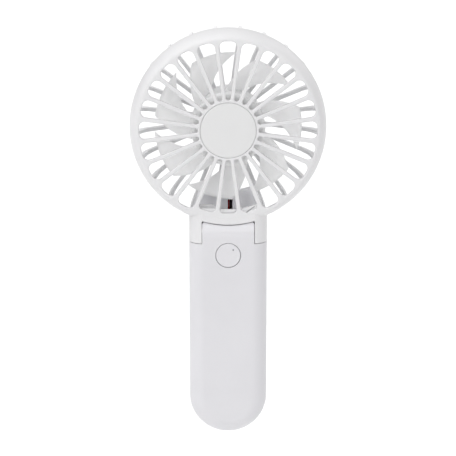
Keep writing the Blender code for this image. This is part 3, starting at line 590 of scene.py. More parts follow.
def cell_wrap(name):
    look = Look(name)
    film = look.ramp(look.noise(70.0, 3.0, 0.6, where=look.stretched((1.0, 1.0, 0.3))), (0.3, (0.035, 0.12, 0.34)), (0.7, (0.06, 0.18, 0.46)))
    creases = look.noise(120.0, 4.0, 0.65, where=look.stretched((1.0, 1.0, 0.15)), distortion=0.6)
    return look.wear(film, look.spread(creases, 0.18, 0.34), look.bump(creases, 0.25, 0.0003), Coat_Weight=0.4, Coat_Roughness=0.12)


def foam(name):
    look = Look(name)
    pores = look.cells(1500.0)
    tone = look.ramp(pores, (0.05, (0.03, 0.03, 0.034)), (0.6, (0.12, 0.12, 0.13)))
    return look.wear(tone, look.spread(look.noise(400.0), 0.82, 0.95), look.bump(pores, 0.8, 0.0003))


def flat_cable(name):
    look = Look(name)
    strands = look.waves(260.0, "BANDS", "Y")
    tone = look.ramp(strands, (0.15, (0.20, 0.20, 0.215)), (0.85, (0.40, 0.40, 0.42)))
    return look.wear(tone, look.spread(look.noise(500.0), 0.42, 0.55), look.bump(strands, 0.5, 0.0002))


def windings(name):
    look = Look(name)
    turns = look.waves(900.0, "BANDS", "Y", distortion=0.6, detail=1.0)
    tone = look.ramp(turns, (0.1, (0.34, 0.13, 0.05)), (0.9, (0.82, 0.42, 0.20)))
    return look.wear(tone, look.spread(look.noise(900.0), 0.22, 0.4), look.bump(turns, 0.7, 0.00025), Metallic=1.0, Coat_Weight=0.5)


def ferrite(name):
    look = Look(name)
    grain = look.noise(2600.0, 4.0, 0.7)
    tone = look.ramp(grain, (0.3, (0.075, 0.075, 0.08)), (0.7, (0.16, 0.16, 0.17)))
    return look.wear(tone, look.spread(look.noise(500.0), 0.5, 0.7), look.bump(grain, 0.4, 0.00005), Metallic=0.4)


def dark_moulding(name):
    look = Look(name)
    tone = look.ramp(look.noise(400.0, 3.0, 0.6), (0.3, (0.018, 0.018, 0.019)), (0.7, (0.040, 0.040, 0.042)))
    return look.wear(tone, look.spread(look.noise(600.0), 0.4, 0.58), look.bump(look.noise(2600.0), 0.3, 0.00006))


def clear_lens(name, colour, rough):
    look = Look(name)
    tone = look.ramp(look.noise(900.0, 2.0, 0.5), (0.3, tuple(c * 0.94 for c in colour)), (0.7, colour))
    return look.wear(tone, look.spread(look.noise(1500.0), rough * 0.8, rough * 1.2), look.bump(look.noise(2500.0), 0.1, 0.00003),
                     Transmission_Weight=0.25, IOR=1.49)


def floor_look(name):
    look = Look(name)
    tone = look.ramp(look.noise(6.0, 4.0, 0.6), (0.3, (0.93, 0.93, 0.93)), (0.7, (0.945, 0.945, 0.945)))
    return look.wear(tone, look.spread(look.noise(40.0), 0.75, 0.85), look.bump(look.noise(900.0), 0.05, 0.0001))


# ---------------------------------------------------------------- the handle


def tongue_top(x, gap=0.0):
    return TONGUE_TOP + gap + TONGUE_RISE * (x / TONGUE_HALF) ** 2


def tongue_outline(half, gap, bottom, corner, steps=20):
    """The tongue seen from the front, its upper edge following the rim."""
    corners = [(half, bottom, 0.0), (half, tongue_top(half, gap), corner)]
    for i in range(1, steps):
        x = half - 2 * half * i / steps
        corners.append((x, tongue_top(x, gap), 0.0))
    corners += [(-half, tongue_top(half, gap), corner), (-half, bottom, 0.0)]
    # The rounded corners reach further than the fine steps of the top edge, so those near them go.
    near = half - corner * 1.15
    corners = [c for c in corners if c[2] > 0 or c[1] == bottom or abs(c[0]) < near]
    return rounded(corners, 6)


def pill(name, inset, top, arc=72, steps=14, lip=0.0):
    """The handle's outer shape: straight sides, a half-round lower end, rounded long edges,
    and a small vee where the two shells meet."""
    half = HALF_WIDTH - inset
    front, back = -HALF_DEPTH + inset, HALF_DEPTH - inset
    edge_front, edge_back = FRONT_FILLET - inset, BACK_FILLET - inset
    rings = []
    for i in range(steps + 1):
        turn = 0.5 * math.pi * i / steps
        rings.append((edge_front * (1 - math.sin(turn)), front + edge_front * (1 - math.cos(turn))))
    if lip:
        rings += [(0.0, -SEAM - 1.1 * lip), (0.3 * lip, -SEAM - 0.45 * lip), (lip, -SEAM), (lip, SEAM), (0.3 * lip, SEAM + 0.45 * lip), (0.0, SEAM + 1.1 * lip)]
    for i in range(steps + 1):
        turn = 0.5 * math.pi * i / steps
        rings.append((edge_back * (1 - math.cos(turn)), back - edge_back * (1 - math.sin(turn))))
    points = []
    for inward, y in rings:
        width = half - inward
        points.append(point(width, y, top))
        for i in range(arc + 1):
            turn = math.pi * i / arc
            points.append(point(width * math.cos(turn), y, HALF_WIDTH - width * math.sin(turn)))
        points.append(point(-width, y, top))
    count = arc + 3
    faces = [list(range(count)), list(range(count * (len(rings) - 1), count * len(rings)))]
    for k in range(len(rings) - 1):
        band(faces, list(range(k * count, (k + 1) * count)), list(range((k + 1) * count, (k + 2) * count)))
    return solid(name, points, faces)


def knuckle_cut(name, half, sign, steps=20):
    outline = [(PIVOT_Y, PIVOT_H + sign * 12.0)]
    for i in range(steps + 1):
        turn = 0.5 * math.pi * i / steps
        outline.append((PIVOT_Y + KNUCKLE * math.sin(turn), PIVOT_H + sign * KNUCKLE * math.cos(turn)))
    outline += [(PIVOT_Y + 12.0, PIVOT_H), (PIVOT_Y + 12.0, PIVOT_H + sign * 12.0)]
    return prism(name, outline, -half, half, axis="x")


def crown_cut(name, bottom, top, depth, half, steps=12):
    """What is taken off in front of a face that rolls back towards its upper edge."""
    outline = [(-HALF_DEPTH - 4.0, bottom)]
    for i in range(steps + 1):
        share = i / steps
        outline.append((-HALF_DEPTH - 0.002 + depth * share**1.8, bottom + (top - bottom) * share))
    outline.append((-HALF_DEPTH - 4.0, top))
    return prism(name, outline, -half, half, axis="x")


def groove(name, path, width, low, high):
    """A strip of even width that follows a path, for a fine engraved line."""
    left, right = [], []
    for i, (x, h) in enumerate(path):
        before, after = path[max(i - 1, 0)], path[min(i + 1, len(path) - 1)]
        dx, dh = after[0] - before[0], after[1] - before[1]
        size = math.hypot(dx, dh) or 1.0
        left.append((x - dh / size * width / 2, h + dx / size * width / 2))
        right.append((x + dh / size * width / 2, h - dx / size * width / 2))
    return prism(name, left + right[::-1], low, high)


def hole(name, radius, start, end, segments, mouth, flare, centre, phase=0.0):
    """A cutter for a round hole whose edge is eased where it meets the outside."""
    sign = 1.0 if mouth > end else -1.0
    profile = [(0.0, mouth + sign * 4.0), (radius + flare, mouth + sign * 4.0)]
    for k in range(5):
        turn = 0.5 * math.pi * k / 4
        profile.append((radius + flare * (1 - math.sin(turn)), mouth - sign * flare * (1 - math.cos(turn))))
    profile += [(radius, end), (0.0, end)]
    return lathe(name, profile, segments, centre=centre, phase=phase)


def port_outline(grow, steps=12):
    half_width, half_depth = 4.47 + grow, 1.6 + grow
    outline = []
    for side in (1, -1):
        for i in range(steps + 1):
            turn = -0.5 * math.pi + math.pi * i / steps
            outline.append((side * (half_width - half_depth + half_depth * math.cos(turn)), side * half_depth * math.sin(turn)))
    return outline


def port_solid(name, levels):
    """A stadium-shaped solid. Levels are (grow, height) pairs."""
    points, rows, faces = [], [], []
    for grow, height in levels:
        start = len(points)
        outline = port_outline(grow)
        points += [point(x, y, height) for x, y in outline]
        rows.append(list(range(start, start + len(outline))))
    for low, high in zip(rows, rows[1:]):
        band(faces, low, high)
    faces += [rows[0], rows[-1]]
    return solid(name, points, faces)


def handle_shell(name, front):
    shell = pill(name, 0.0, 118.0, lip=0.16)
    around = [(-40.0, SHOULDER), (-TONGUE_HALF, SHOULDER)]
    around += [(x, h) for x, h in tongue_outline(TONGUE_HALF, 0.0, SHOULDER, 1.6)[::-1]][1:-1]
    around += [(TONGUE_HALF, SHOULDER), (40.0, SHOULDER), (40.0, 140.0), (-40.0, 140.0)]
    cut(shell, prism("around_tongue", around, -20, 20))
    cut(shell, knuckle_cut("tongue_round", 15.0, 1))
    if front:
        cut(shell, crown_cut("tongue_crown", 108.4, 115.6, 1.39, 14.5))
    cut(shell, pill("hollow", WALL, 101.8, arc=40, steps=6))
    cut(shell, block("tongue_hollow", (-11.5, -10.7, 100.0), (11.5, 9.2, 110.9)))
    cut(shell, rod("knuckle_hollow", 3.4, -11.3, 11.3, 32, axis="x", centre=(PIVOT_Y, PIVOT_H)))
    if front:
        cut(shell, block("rear_half", (-40, -SEAM, -20), (40, 40, 140)))
        for side in (-1, 1):
            for height in SCREW_HEIGHTS:
                centre = (side * SCREW_X, height)
                add(shell, rod("boss", 2.6, -10.5, -SEAM, 28, centre=centre))
                cut(shell, rod("pilot", 1.05, -9.0, 2.0, 20, centre=centre))
        cut(shell, hole("button_hole", BUTTON_HOLE, -20, -6.0, 96, -HALF_DEPTH, 0.22, (0, BUTTON_H)))
    else:
        cut(shell, block("front_half", (-40, -40, -20), (40, SEAM, 140)))
        for side in (-1, 1):
            for height in SCREW_HEIGHTS:
                centre = (side * SCREW_X, height)
                add(shell, rod("boss", 2.6, SEAM, 10.6, 28, centre=centre))
                cut(shell, rod("shank_hole", 1.25, -3.0, 14.0, 20, centre=centre))
                cut(shell, rod("head_recess", 2.25, 9.9, 14.0, 40, centre=centre))
        cut(shell, rod("pin_holes", PIN_RADIUS + 0.1, -16, 16, 32, axis="x", centre=(PIVOT_Y, PIVOT_H)))
    cut(shell, port_solid("port_hole", [(0.9, -3.0), (0.9, -0.25), (0.62, 0.1), (0.42, 0.4), (0.35, 0.75), (0.35, 3.0)]))
    return tidy(shell)


def power_button():
    profile = rounded(
        [(0, -12.30), (4.3, -12.33), (BUTTON_R, -12.50, 0.55), (BUTTON_R, -10.35, 0.1), (7.7, -10.35, 0.15), (7.7, -9.5, 0.15), (1.5, -9.5, 0.2), (1.5, -8.4, 0.2), (0, -8.4)],
        6,
    )
    # A very shallow dish across the face.
    face = [(0, -12.30), (1.4, -12.305), (2.8, -12.325), (4.2, -12.36), (5.2, -12.41)]
    button = lathe("power_button_cap", face + profile[2:], 96, centre=(0, BUTTON_H))
    dot = (2.6, BUTTON_H + 3.0)
    cut(button, rod("light_hole", 0.46, -14, -7, 24, centre=dot))
    return tidy(button, 40)


def light_pipe():
    profile = [(0, -12.25), (0.2, -12.24), (0.33, -12.2), (0.4, -12.08), (0.4, -8.8), (0, -8.8)]
    return tidy(lathe("power_button_light_pipe", profile, 24, centre=(2.6, BUTTON_H + 3.0)))


def screw(name, centre, profile, segments, top, recess, depth, turn):
    """A pan screw with a cross recess in its head."""
    made = lathe(name, profile, segments, centre=centre)
    for quarter in (0, 1):
        angle = turn + quarter * math.pi / 2
        wide, thin = recess, 0.27 * recess
        points = []
        for y, share in ((top + 0.6, 1.15), (top - depth, 0.55)):
            for a, b in ((-wide, -thin), (wide, -thin), (wide, thin), (-wide, thin)):
                x = (a * math.cos(angle) - b * math.sin(angle)) * share
                z = (a * math.sin(angle) + b * math.cos(angle)) * share
                points.append(point(centre[0] + x, y, centre[1] + z))
        faces = [(0, 1, 2, 3), (4, 5, 6, 7), (0, 1, 5, 4), (1, 2, 6, 5), (2, 3, 7, 6), (3, 0, 4, 7)]
        cut(made, solid("recess", points, faces))
    return tidy(made)


def handle_screws():
    made = []
    number = 0
    for side in (-1, 1):
        for height in SCREW_HEIGHTS:
            number += 1
            profile = rounded(
                [(0, -6.5), (0.45, -6.5), (0.75, -6.0), (0.75, 9.6), (0.9, 10.2), (1.95, 10.2, 0.12), (1.95, 11.4, 0.4), (0, 11.42)], 4
            )
            made.append(screw(f"back_screw_{number}", (side * SCREW_X, height), profile, 40, 11.4, 1.1, 0.75, 0.35 + 0.9 * number))
    return made


def charging_socket():
    shell = port_solid("charging_socket_shell", [(-0.12, 0.5), (0.0, 0.62), (0.0, 7.5), (-0.1, 7.6)])
    cut(shell, port_solid("mouth", [(-0.3, -1.0), (-0.3, 0.55), (-0.45, 0.8), (-0.45, 6.6)]))
    tongue = soft_block("contact_tongue", (-3.2, -0.35, 1.4), (3.2, 0.35, 7.0), 0.12)
    add(shell, tongue)
    return tidy(shell)


# ---------------------------------------------------------------- the head


def front_face_y(radius):
    dome = -13.0 + 0.7 * max(0.0, (radius - SLOT_IN) / (SLOT_OUT - SLOT_IN)) ** 2
    if radius <= SLOT_OUT:
        return dome
    part = min(1.0, (radius - SLOT_OUT) / (RIM_R - SLOT_OUT))
    return RIM_Y - (12.3 + RIM_Y) * math.sqrt(max(0.0, 1 - part**2.0))


def slot_edge(u):
    share = (u - SLOT_IN) / (SLOT_OUT - SLOT_IN)
    width = SPOKE_IN + (SPOKE_OUT - SPOKE_IN) * share
    half_pitch = math.pi / SLOTS
    return u * math.tan(half_pitch) - 0.5 * width / math.cos(half_pitch)


def slot_contour(outer, corner):
    """Half of one slot's outline, from its inner nose to its outer end, as (u, v, kind)."""
    slope = (slot_edge(40.0) - slot_edge(20.0)) / 20.0
    tilt = math.atan(slope)
    nose = 1.2
    for _ in range(12):
        nose = slot_edge(SLOT_IN + nose) * math.cos(tilt)
    centre = SLOT_IN + nose
    line = []
    for k in range(7):
        turn = math.pi - (0.5 * math.pi - tilt) * k / 6
        line.append((centre + nose * math.cos(turn), nose * math.sin(turn)))
    cu = outer - corner
    for _ in range(20):
        cv = slot_edge(cu) - corner / math.cos(tilt)
        cu = math.sqrt(max(1.0, (outer - corner) ** 2 - cv**2))
    first = 0.5 * math.pi + tilt
    last = math.atan2(cv, cu)
    start = (cu + corner * math.cos(first), cv + corner * math.sin(first))
    for k in range(1, 12):
        share = k / 12
        line.append((line[6][0] + (start[0] - line[6][0]) * share, line[6][1] + (start[1] - line[6][1]) * share))
    for k in range(7):
        turn = first + (last - first) * k / 6
        line.append((cu + corner * math.cos(turn), cv + corner * math.sin(turn)))
    end = math.atan2(line[-1][1], line[-1][0])
    for k in range(1, 5):
        turn = end * (1 - k / 4)
        line.append((outer * math.cos(turn), outer * math.sin(turn)))
    return line


def grille_body(name):
    """Rim, hub plate and 24 round-ended slots with eased edges, as one closed skin."""
    half_pitch = math.pi / SLOTS
    hub, rim = 15.1, 46.7
    ease, back_ease = 0.48, 0.25
    points, faces = [], []

    def vertex(u, v, turn, y):
        x = u * math.sin(turn) + v * math.cos(turn)
        z = u * math.cos(turn) - v * math.sin(turn)
        points.append(point(x, y, AXIS_H + z))
        return len(points) - 1

    def polar(radius, phi):
        return radius * math.cos(phi), radius * math.sin(phi)

    def back_y(radius):
        return -10.6 if radius < 45.8 else -10.0

    rim_share = 0.5
    half_border = [polar(hub, half_pitch * k / 6) for k in range(7)]
    for k in range(1, 12):
        half_border.append(polar(15.6 + (42.0 - 15.6) * k / 12, half_pitch))
    half_border += [polar(r, half_pitch) for r in (42.0, 43.6, 45.2, rim)]
    half_border += [polar(rim, half_pitch * (1 - (1 - rim_share) * k / 3)) for k in (1, 2, 3)]
    half_border += [polar(rim, half_pitch * rim_share * (1 - k / 4)) for k in (1, 2, 3, 4)]

    for sector in range(SLOTS):
        turn = 2 * math.pi * sector / SLOTS
        # The three lowest slots stop short, where the neck meets the rim.
        low = sector in (11, 12, 13)
        outer = SLOT_OUT_NECK if low else SLOT_OUT
        half_slot = slot_contour(outer, 2.0 if low else 2.9)
        slot = half_slot + [(u, -v) for u, v in reversed(half_slot[1:-1])]
        border = half_border + [(u, -v) for u, v in reversed(half_border[1:-1])]
        count = len(slot)
        normals = []
        for i in range(count):
            a, b = Vector(slot[i - 1]), Vector(slot[(i + 1) % count])
            along = (b - a).normalized()
            normals.append(Vector((-along.y, along.x)))
        middle = Vector((30.0, 0.0))
        if normals[12].dot(Vector(slot[12]) - middle) < 0:
            normals = [-n for n in normals]

        def eased(offset):
            return [(slot[i][0] + normals[i].x * offset, slot[i][1] + normals[i].y * offset) for i in range(count)]

        rows = []
        lip = eased(ease)
        for share in (0.0, 0.4, 0.75):
            row = []
            for (bu, bv), (su, sv) in zip(border, lip):
                u, v = bu + (su - bu) * share, bv + (sv - bv) * share
                row.append(vertex(u, v, turn, front_face_y(math.hypot(u, v)) + 0.05 * share**2))
            rows.append(row)
        for k in range(5):
            a = 0.5 * math.pi * k / 4
            ring = eased(ease * (1 - math.sin(a)))
            rows.append(
                [vertex(u, v, turn, front_face_y(math.hypot(*lip[i])) + 0.05 + ease * (1 - math.cos(a))) for i, (u, v) in enumerate(ring)]
            )
        for k in range(3):
            a = 0.5 * math.pi * k / 2
            ring = eased(back_ease * (1 - math.cos(a)))
            rows.append([vertex(u, v, turn, back_y(math.hypot(*slot[i])) - back_ease * (1 - math.sin(a))) for i, (u, v) in enumerate(ring)])
        rows.append([vertex(u, v, turn, back_y(math.hypot(u, v))) for u, v in border])
        for first, second in zip(rows, rows[1:]):
            band(faces, first, second)

    def rings(profile, turns):
        made = []
        for radius, y in profile:
            made.append([vertex(radius, 0.0, turn, y) for turn in turns])
        for first, second in zip(made, made[1:]):
            band(faces, first, second)
        return made

    hub_turns = [2 * math.pi * s / SLOTS + half_pitch * k / 6 for s in range(SLOTS) for k in range(-6, 6)]
    seat = CAP_R + 0.14
    inner = rings([(hub, front_face_y(hub)), (seat + 0.14, -12.99), (seat + 0.04, -12.95), (seat, -12.85), (seat, -11.35), (seat - 0.15, -11.2)], hub_turns)
    faces.append(list(inner[-1]))
    behind = rings([(hub, back_y(hub)), (seat, -10.25), (seat - 0.3, -10.1)], hub_turns)
    faces.append(list(behind[-1]))
    edge_shares = [-1.0, -1 + 0.5 / 3, -1 + 1.0 / 3, -0.5, -0.375, -0.25, -0.125, 0.0, 0.125, 0.25, 0.375, 0.5, 0.5 + 0.5 / 3, 0.5 + 1.0 / 3]
    rim_turns = [2 * math.pi * s / SLOTS + half_pitch * share for s in range(SLOTS) for share in edge_shares]
    profile = [(rim, front_face_y(rim))]
    first = math.asin((rim - SLOT_OUT) / (RIM_R - SLOT_OUT))
    for i in range(1, 17):
        part = math.sin(first + (0.5 * math.pi - first) * i / 16)
        radius = SLOT_OUT + (RIM_R - SLOT_OUT) * part
        profile.append((radius, front_face_y(radius)))
    profile += [(50.49, -0.2), (50.45, 0.8), (50.38, 2.0), (50.28, 3.4), (50.2, 4.4), (50.12, 4.7), (49.95, SPLIT_Y - 0.15), (49.15, SPLIT_Y - 0.15), (49.0, 4.7),
                (49.0, 1.0), (48.9, -3.0), (48.6, -5.5), (48.1, -7.3), (47.4, -9.0), (rim, back_y(rim))]
    rings(profile, rim_turns)
    return solid(name, points, faces)


def head_inside(name):
    profile = [(0, -14.5), (45.7, -14.5), (45.7, -10.7), (47.55, -10.7), (47.55, 30.0), (0, 30.0)]
    return lathe(name, profile, 336, centre=(0, AXIS_H), phase=math.pi / SLOTS)


def head_sides(name):
    """The room inside the rim's thin wall, left and right of the neck."""
    profile = [(0, -10.6), (46.6, -9.9), (47.5, -8.8), (48.2, -7.0), (48.7, -5.0), (49.05, -2.0), (49.1, 30.0), (0, 30.0)]
    room = lathe(name, profile, 336, centre=(0, AXIS_H), phase=math.pi / SLOTS)
    return cut(room, block("behind_neck", (-17.0, -40, 80), (17.0, 40, 240)))


def neck_piece(name, low, high, steps=14):
    piece = pill(name, 0.0, high, arc=8, steps=steps)
    return cut(piece, block("below", (-40, -30, -30), (40, 30, low)))


def front_grille():
    neck = neck_piece("neck", EAR_BOTTOM, 121.5)
    cut(neck, block("behind_split", (-40, SPLIT_Y - 0.15, 115.5), (40, 40, 140)))
    cut(neck, head_inside("room"))
    cut(neck, head_sides("side_room"))
    # The neck's face leans back by a hair where it runs into the rim.
    lean = [(44.8, -20.0), (60.0, -20.0), (60.0, -12.62), (51.0, -12.52), (49.2, -12.47), (47.6, -12.38), (46.6, -12.3), (45.9, -12.24), (44.8, -12.16)]
    cut(neck, lathe("lean", lean, 336, centre=(0, AXIS_H), phase=math.pi / SLOTS))
    body = add(grille_body("front_grille_visual"), neck)
    ledge = lathe("ledge", [(SLOT_OUT_NECK + 0.15, -11.3), (48.3, -11.3), (49.4, -4.0), (SLOT_OUT_NECK + 0.25, -4.0)], 336, centre=(0, AXIS_H), phase=math.pi / SLOTS)
    keep(ledge, block("ledge_width", (-16.6, -20, 100), (16.6, 10, 125)))
    add(body, ledge)
    # Two low steps behind the left slot, a lip under the opening and a slanting one with a fine seam on the right.
    add(body, prism("left_step", [(-16.3, 117.5), (-5.2, 117.5), (-5.2, 122.3), (-16.3, 122.3)], -11.4, -8.2))
    high = rounded([(-15.9, 118.5, 0.0), (-6.5, 118.5, 0.0), (-6.5, 123.7, 1.6), (-15.9, 123.7, 0.0)], 6)
    add(body, prism("left_high_step", high, -8.5, -7.1))
    add(body, prism("middle_lip", [(-5.6, 117.5), (5.8, 117.5), (5.8, 121.9), (-5.6, 121.9)], -11.4, -10.7))
    add(body, prism("right_lip", [(5.4, 117.5), (16.3, 117.5), (16.3, 125.0), (5.4, 121.55)], -11.4, -9.6))
    cut(body, prism("right_seam", [(9.15, 120.55), (9.5, 120.25), (13.75, 123.25), (13.4, 123.6)], -12.4, -10.4))
    contour = [(-2.58, 122.4), (-2.58, 120.3), (-2.3, 120.08), (-1.1, 120.05), (0.42, 120.12), (2.3, 120.15), (3.9, 121.0), (4.4, 122.4)]
    cut(body, groove("lip_contour", contour, 0.3, -12.4, -11.05))
    half = TONGUE_HALF + 0.24
    # The gap is a hair finer on the left.
    cut(body, prism("tongue_room", [(x + 0.02, h) for x, h in tongue_outline(half, NECK_GAP, 90.0, 1.1)], -20, 20))
    cut(body, knuckle_cut("ear_round", 30.0, -1))
    for side in (-1, 1):
        low, high = sorted((side * 12.5, side * 18.3))
        cut(body, rod("pin_seat", PIN_RADIUS + 0.3, low, high, 32, axis="x", centre=(PIVOT_Y, PIVOT_H)))
    cut(body, block("wire_way", (-18.2, 5.7, 107.0), (-15.7, 9.3, 119.5)))
    return tidy(body)


def centre_cap():
    profile = rounded([(0, -13.02), (7.0, -13.02), (13.4, -13.0), (CAP_R, -12.96, 0.16), (CAP_R, -11.5, 0.2), (0, -11.5)], 6)
    return tidy(lathe("grille_centre_cap", profile, 144, centre=(0, AXIS_H)))


def offset_loop(loop, distance):
    """A closed outline moved inwards by a distance, with its normals taken from its neighbours."""
    count = len(loop)
    area = sum(loop[i][0] * loop[(i + 1) % count][1] - loop[(i + 1) % count][0] * loop[i][1] for i in range(count))
    sign = 1.0 if area > 0 else -1.0
    moved = []
    for i in range(count):
        here = Vector(loop[i])
        into = (here - Vector(loop[i - 1])).normalized()
        out = (Vector(loop[(i + 1) % count]) - here).normalized()
        normal = Vector((-(into + out).y, (into + out).x)).normalized() * sign
        stretch = 1.0 / max(0.5, math.cos(0.5 * into.angle(out, 0.0)))
        moved.append((here.x + normal.x * distance * stretch, here.y + normal.y * distance * stretch))
    return moved


def rib(name, turn):
    """One rear rib, along the side, round the shoulder and in to the hub, with eased edges."""
    outline = rounded(
        [(49.85, 5.9, 0.0), (50.1, 10.5, 6.0), (49.95, 15.5, 6.0), (48.8, 19.0, 3.0), (46.0, 20.8, 3.0), (43.0, REAR_Y, 2.0), (16.2, REAR_Y, 0.0),
         (16.2, 17.0, 0.0), (41.5, 16.4, 3.0), (45.2, 14.4, 3.0), (46.9, 9.6, 3.0), (49.1, 5.9, 0.0)],
        5, True,
    )
    ease, half = 0.42, 0.5 * RIB_WIDTH
    rows, points, faces = [], [], []
    stations = []
    for k in range(4):
        a = 0.5 * math.pi * k / 3
        stations.append((-half + ease * (1 - math.sin(a)), ease * (1 - math.cos(a))))
    stations = [(-half + ease * (1 - math.cos(0.5 * math.pi * k / 3)), ease * (1 - math.sin(0.5 * math.pi * k / 3))) for k in range(4)]
    stations += [(-s, i) for s, i in reversed(stations)]
    for side, inset in stations:
        start = len(points)
        loop = offset_loop(outline, inset) if inset > 1e-6 else outline
        for radius, y in loop:
            x = radius * math.sin(turn) + side * math.cos(turn)
            z = radius * math.cos(turn) - side * math.sin(turn)
            points.append(point(x, y, AXIS_H + z))
        rows.append(list(range(start, len(points))))
    for first, second in zip(rows, rows[1:]):
        band(faces, first, second)
    faces += [rows[0], rows[-1]]
    return solid(name, points, faces)


def motor_screw_spots():
    for k in range(3):
        turn = 2 * math.pi * k / 3
        yield (MOTOR_SCREW_R * math.sin(turn), AXIS_H + MOTOR_SCREW_R * math.cos(turn))


def sector(name, inset):
    """A wedge from the head's axis down to the neck, between the ribs at 22.5 degrees."""
    slope = math.tan(math.radians(22.5))
    lift = inset / math.sin(math.radians(22.5))
    low = 70.0
    return prism(name, [(0.0, AXIS_H - lift), ((low - lift) * slope, AXIS_H - low), (-(low - lift) * slope, AXIS_H - low)], -25.0, 35.0)


def rear_cover():
    ring = lathe("band", rounded([(48.95, SPLIT_Y + 0.15, 0.1), (50.1, SPLIT_Y + 0.15, 0.25), (50.05, 6.9, 0.35), (48.95, 6.9, 0.35)], 4, True), 192, centre=(0, AXIS_H))
    hub = lathe(
        "hub",
        rounded([(0, 17.2), (14.2, 17.2, 0.3), (14.2, 14.6, 0.2), (HUB_R, 14.6, 0.5), (HUB_R, 21.15, 1.1), (15.6, 21.15), (15.2, 20.95, 0.2), (14.8, 21.15), (0, 21.15)], 5),
        144, centre=(0, AXIS_H),
    )
    ribs = joined("ribs", [rib("rib", 2 * math.pi * (k + 0.5) / SLOTS) for k in range(SLOTS)])
    cover = joined("rear_cover_visual", [ring, hub])
    add(cover, ribs)
    # The box behind the neck ends under an arc, between the ribs at 22.5 degrees.
    neck = neck_piece("neck_box", 115.8, 131.0)
    cut(neck, block("before_split", (-40, -40, 0), (40, SPLIT_Y + 0.15, 140)))
    keep(neck, sector("box_sector", 0.0))
    cut(neck, rod("box_arc", 36.6, 0, 30, 240, centre=(0, AXIS_H)))
    add(cover, neck)
    add(cover, soft_block("strut", (-3.1, 9.3, 118.4), (3.1, REAR_Y - 1.0, 146.4), 0.35))
    inside = pill("neck_room", WALL, 132.0, arc=8, steps=8)
    cut(inside, block("room_front", (-40, -40, 0), (40, SPLIT_Y + 1.7, 140)))
    keep(inside, sector("room_sector", 1.2))
    cut(inside, rod("room_arc", 38.2, 0, 30, 240, centre=(0, AXIS_H), phase=0.01))
    cut(cover, inside)
    cut(cover, block("channel", (-2.0, 10.5, 120.0), (2.0, 30.0, 147.5)))
    cut(cover, block("wire_window", (-2.75, 0.0, 117.2), (2.4, 8.5, 123.5)))
    add(cover, block("window_wall", (-2.9, 6.45, 117.0), (-0.1, 7.4, 123.7)))
    cut(cover, block("below_neck", (-20.6, 0.0, 90.0), (20.6, 40.0, 115.8)))
    for centre in motor_screw_spots():
        cut(cover, rod("screw_hole", 1.1, 10, 25, 24, centre=centre, phase=0.11))
        cut(cover, rod("screw_recess", 2.0, 18.2, 25, 40, centre=centre, phase=0.07))
    return tidy(cover)


def channel_strip():
    return tidy(soft_block("rear_channel_strip", (-1.7, REAR_Y - 2.6, 120.3), (1.7, REAR_Y - 1.4, 144.6), 0.25))


def motor_screws():
    made = []
    for number, centre in enumerate(motor_screw_spots(), 1):
        profile = rounded([(0, 14.0), (0.8, 14.0), (0.8, 18.5), (1.7, 18.5, 0.1), (1.7, 19.2, 0.3), (0, 19.22)], 4)
        made.append(screw(f"hub_screw_{number}", centre, profile, 36, 19.2, 1.0, 0.5, 0.6 * number))
    return made


def blade(name, number):
    """A pitched, swept blade with thin rounded edges."""
    radii = [18.2 + (BLADE_TIP - 18.2) * k / 18 for k in range(19)]
    across = [-1.0, -0.985, -0.94, -0.85, -0.7, -0.52, -0.35, -0.17, 0.0, 0.17, 0.35, 0.52, 0.7, 0.85, 0.94, 0.985, 1.0]
    shift = math.radians(51.4286 * number + BLADE_TURN)
    points, faces = [], []
    grids = ([], [])
    for radius in radii:
        centre = -37.0 + (radius - 22.7) * 1.615
        half = 15.4 + (radius - 22.7) * 0.19
        lean = 6.6 - 2.6 * (radius - 18.0) / 19.5
        fade = min(1.0, (BLADE_TIP - radius) / 0.7 + 0.35)
        rows = ([], [])
        for s in across:
            turn = shift + math.radians(centre + half * s)
            pitch = lean * s - 0.9 * (1 - s * s)
            edge = math.sqrt(max(0.0, 1 - max(0.0, (abs(s) - 0.9) / 0.1) ** 2)) * 0.8 + 0.2
            thick = (0.75 - 0.4 * s * s) * edge * fade
            for row, side in zip(rows, (-1, 1)):
                points.append(point(radius * math.sin(turn), pitch + side * thick, AXIS_H + radius * math.cos(turn)))
                row.append(len(points) - 1)
        for grid, row in zip(grids, rows):
            grid.append(row)
    for grid in grids:
        for a, b in zip(grid, grid[1:]):
            band(faces, a, b, closed=False)
    top, bottom = grids
    for row in (0, -1):
        band(faces, top[row], bottom[row], closed=False)
    for a in range(len(radii) - 1):
        for i in (0, -1):
            faces.append((top[a][i], top[a + 1][i], bottom[a + 1][i], bottom[a][i]))
    return solid(name, points, faces)


def impeller():
    hub = lathe(
        "fan_impeller",
        rounded([(0, -9.2), (17.9, -9.2, 0.5), (FAN_HUB_R, -8.4, 0.5), (FAN_HUB_R, 8.6, 0.4), (17.4, 8.6, 0.4), (17.4, -5.6, 0.6),
                 (2.6, -5.6, 0.2), (2.6, -2.2, 0.2), (1.3, -2.2, 0.1), (1.3, -5.9), (0, -5.9)], 5),
        140, centre=(0, AXIS_H),
    )
    blades = joined("blades", [blade("blade", k) for k in range(BLADES)])
    return tidy(add(hub, blades))


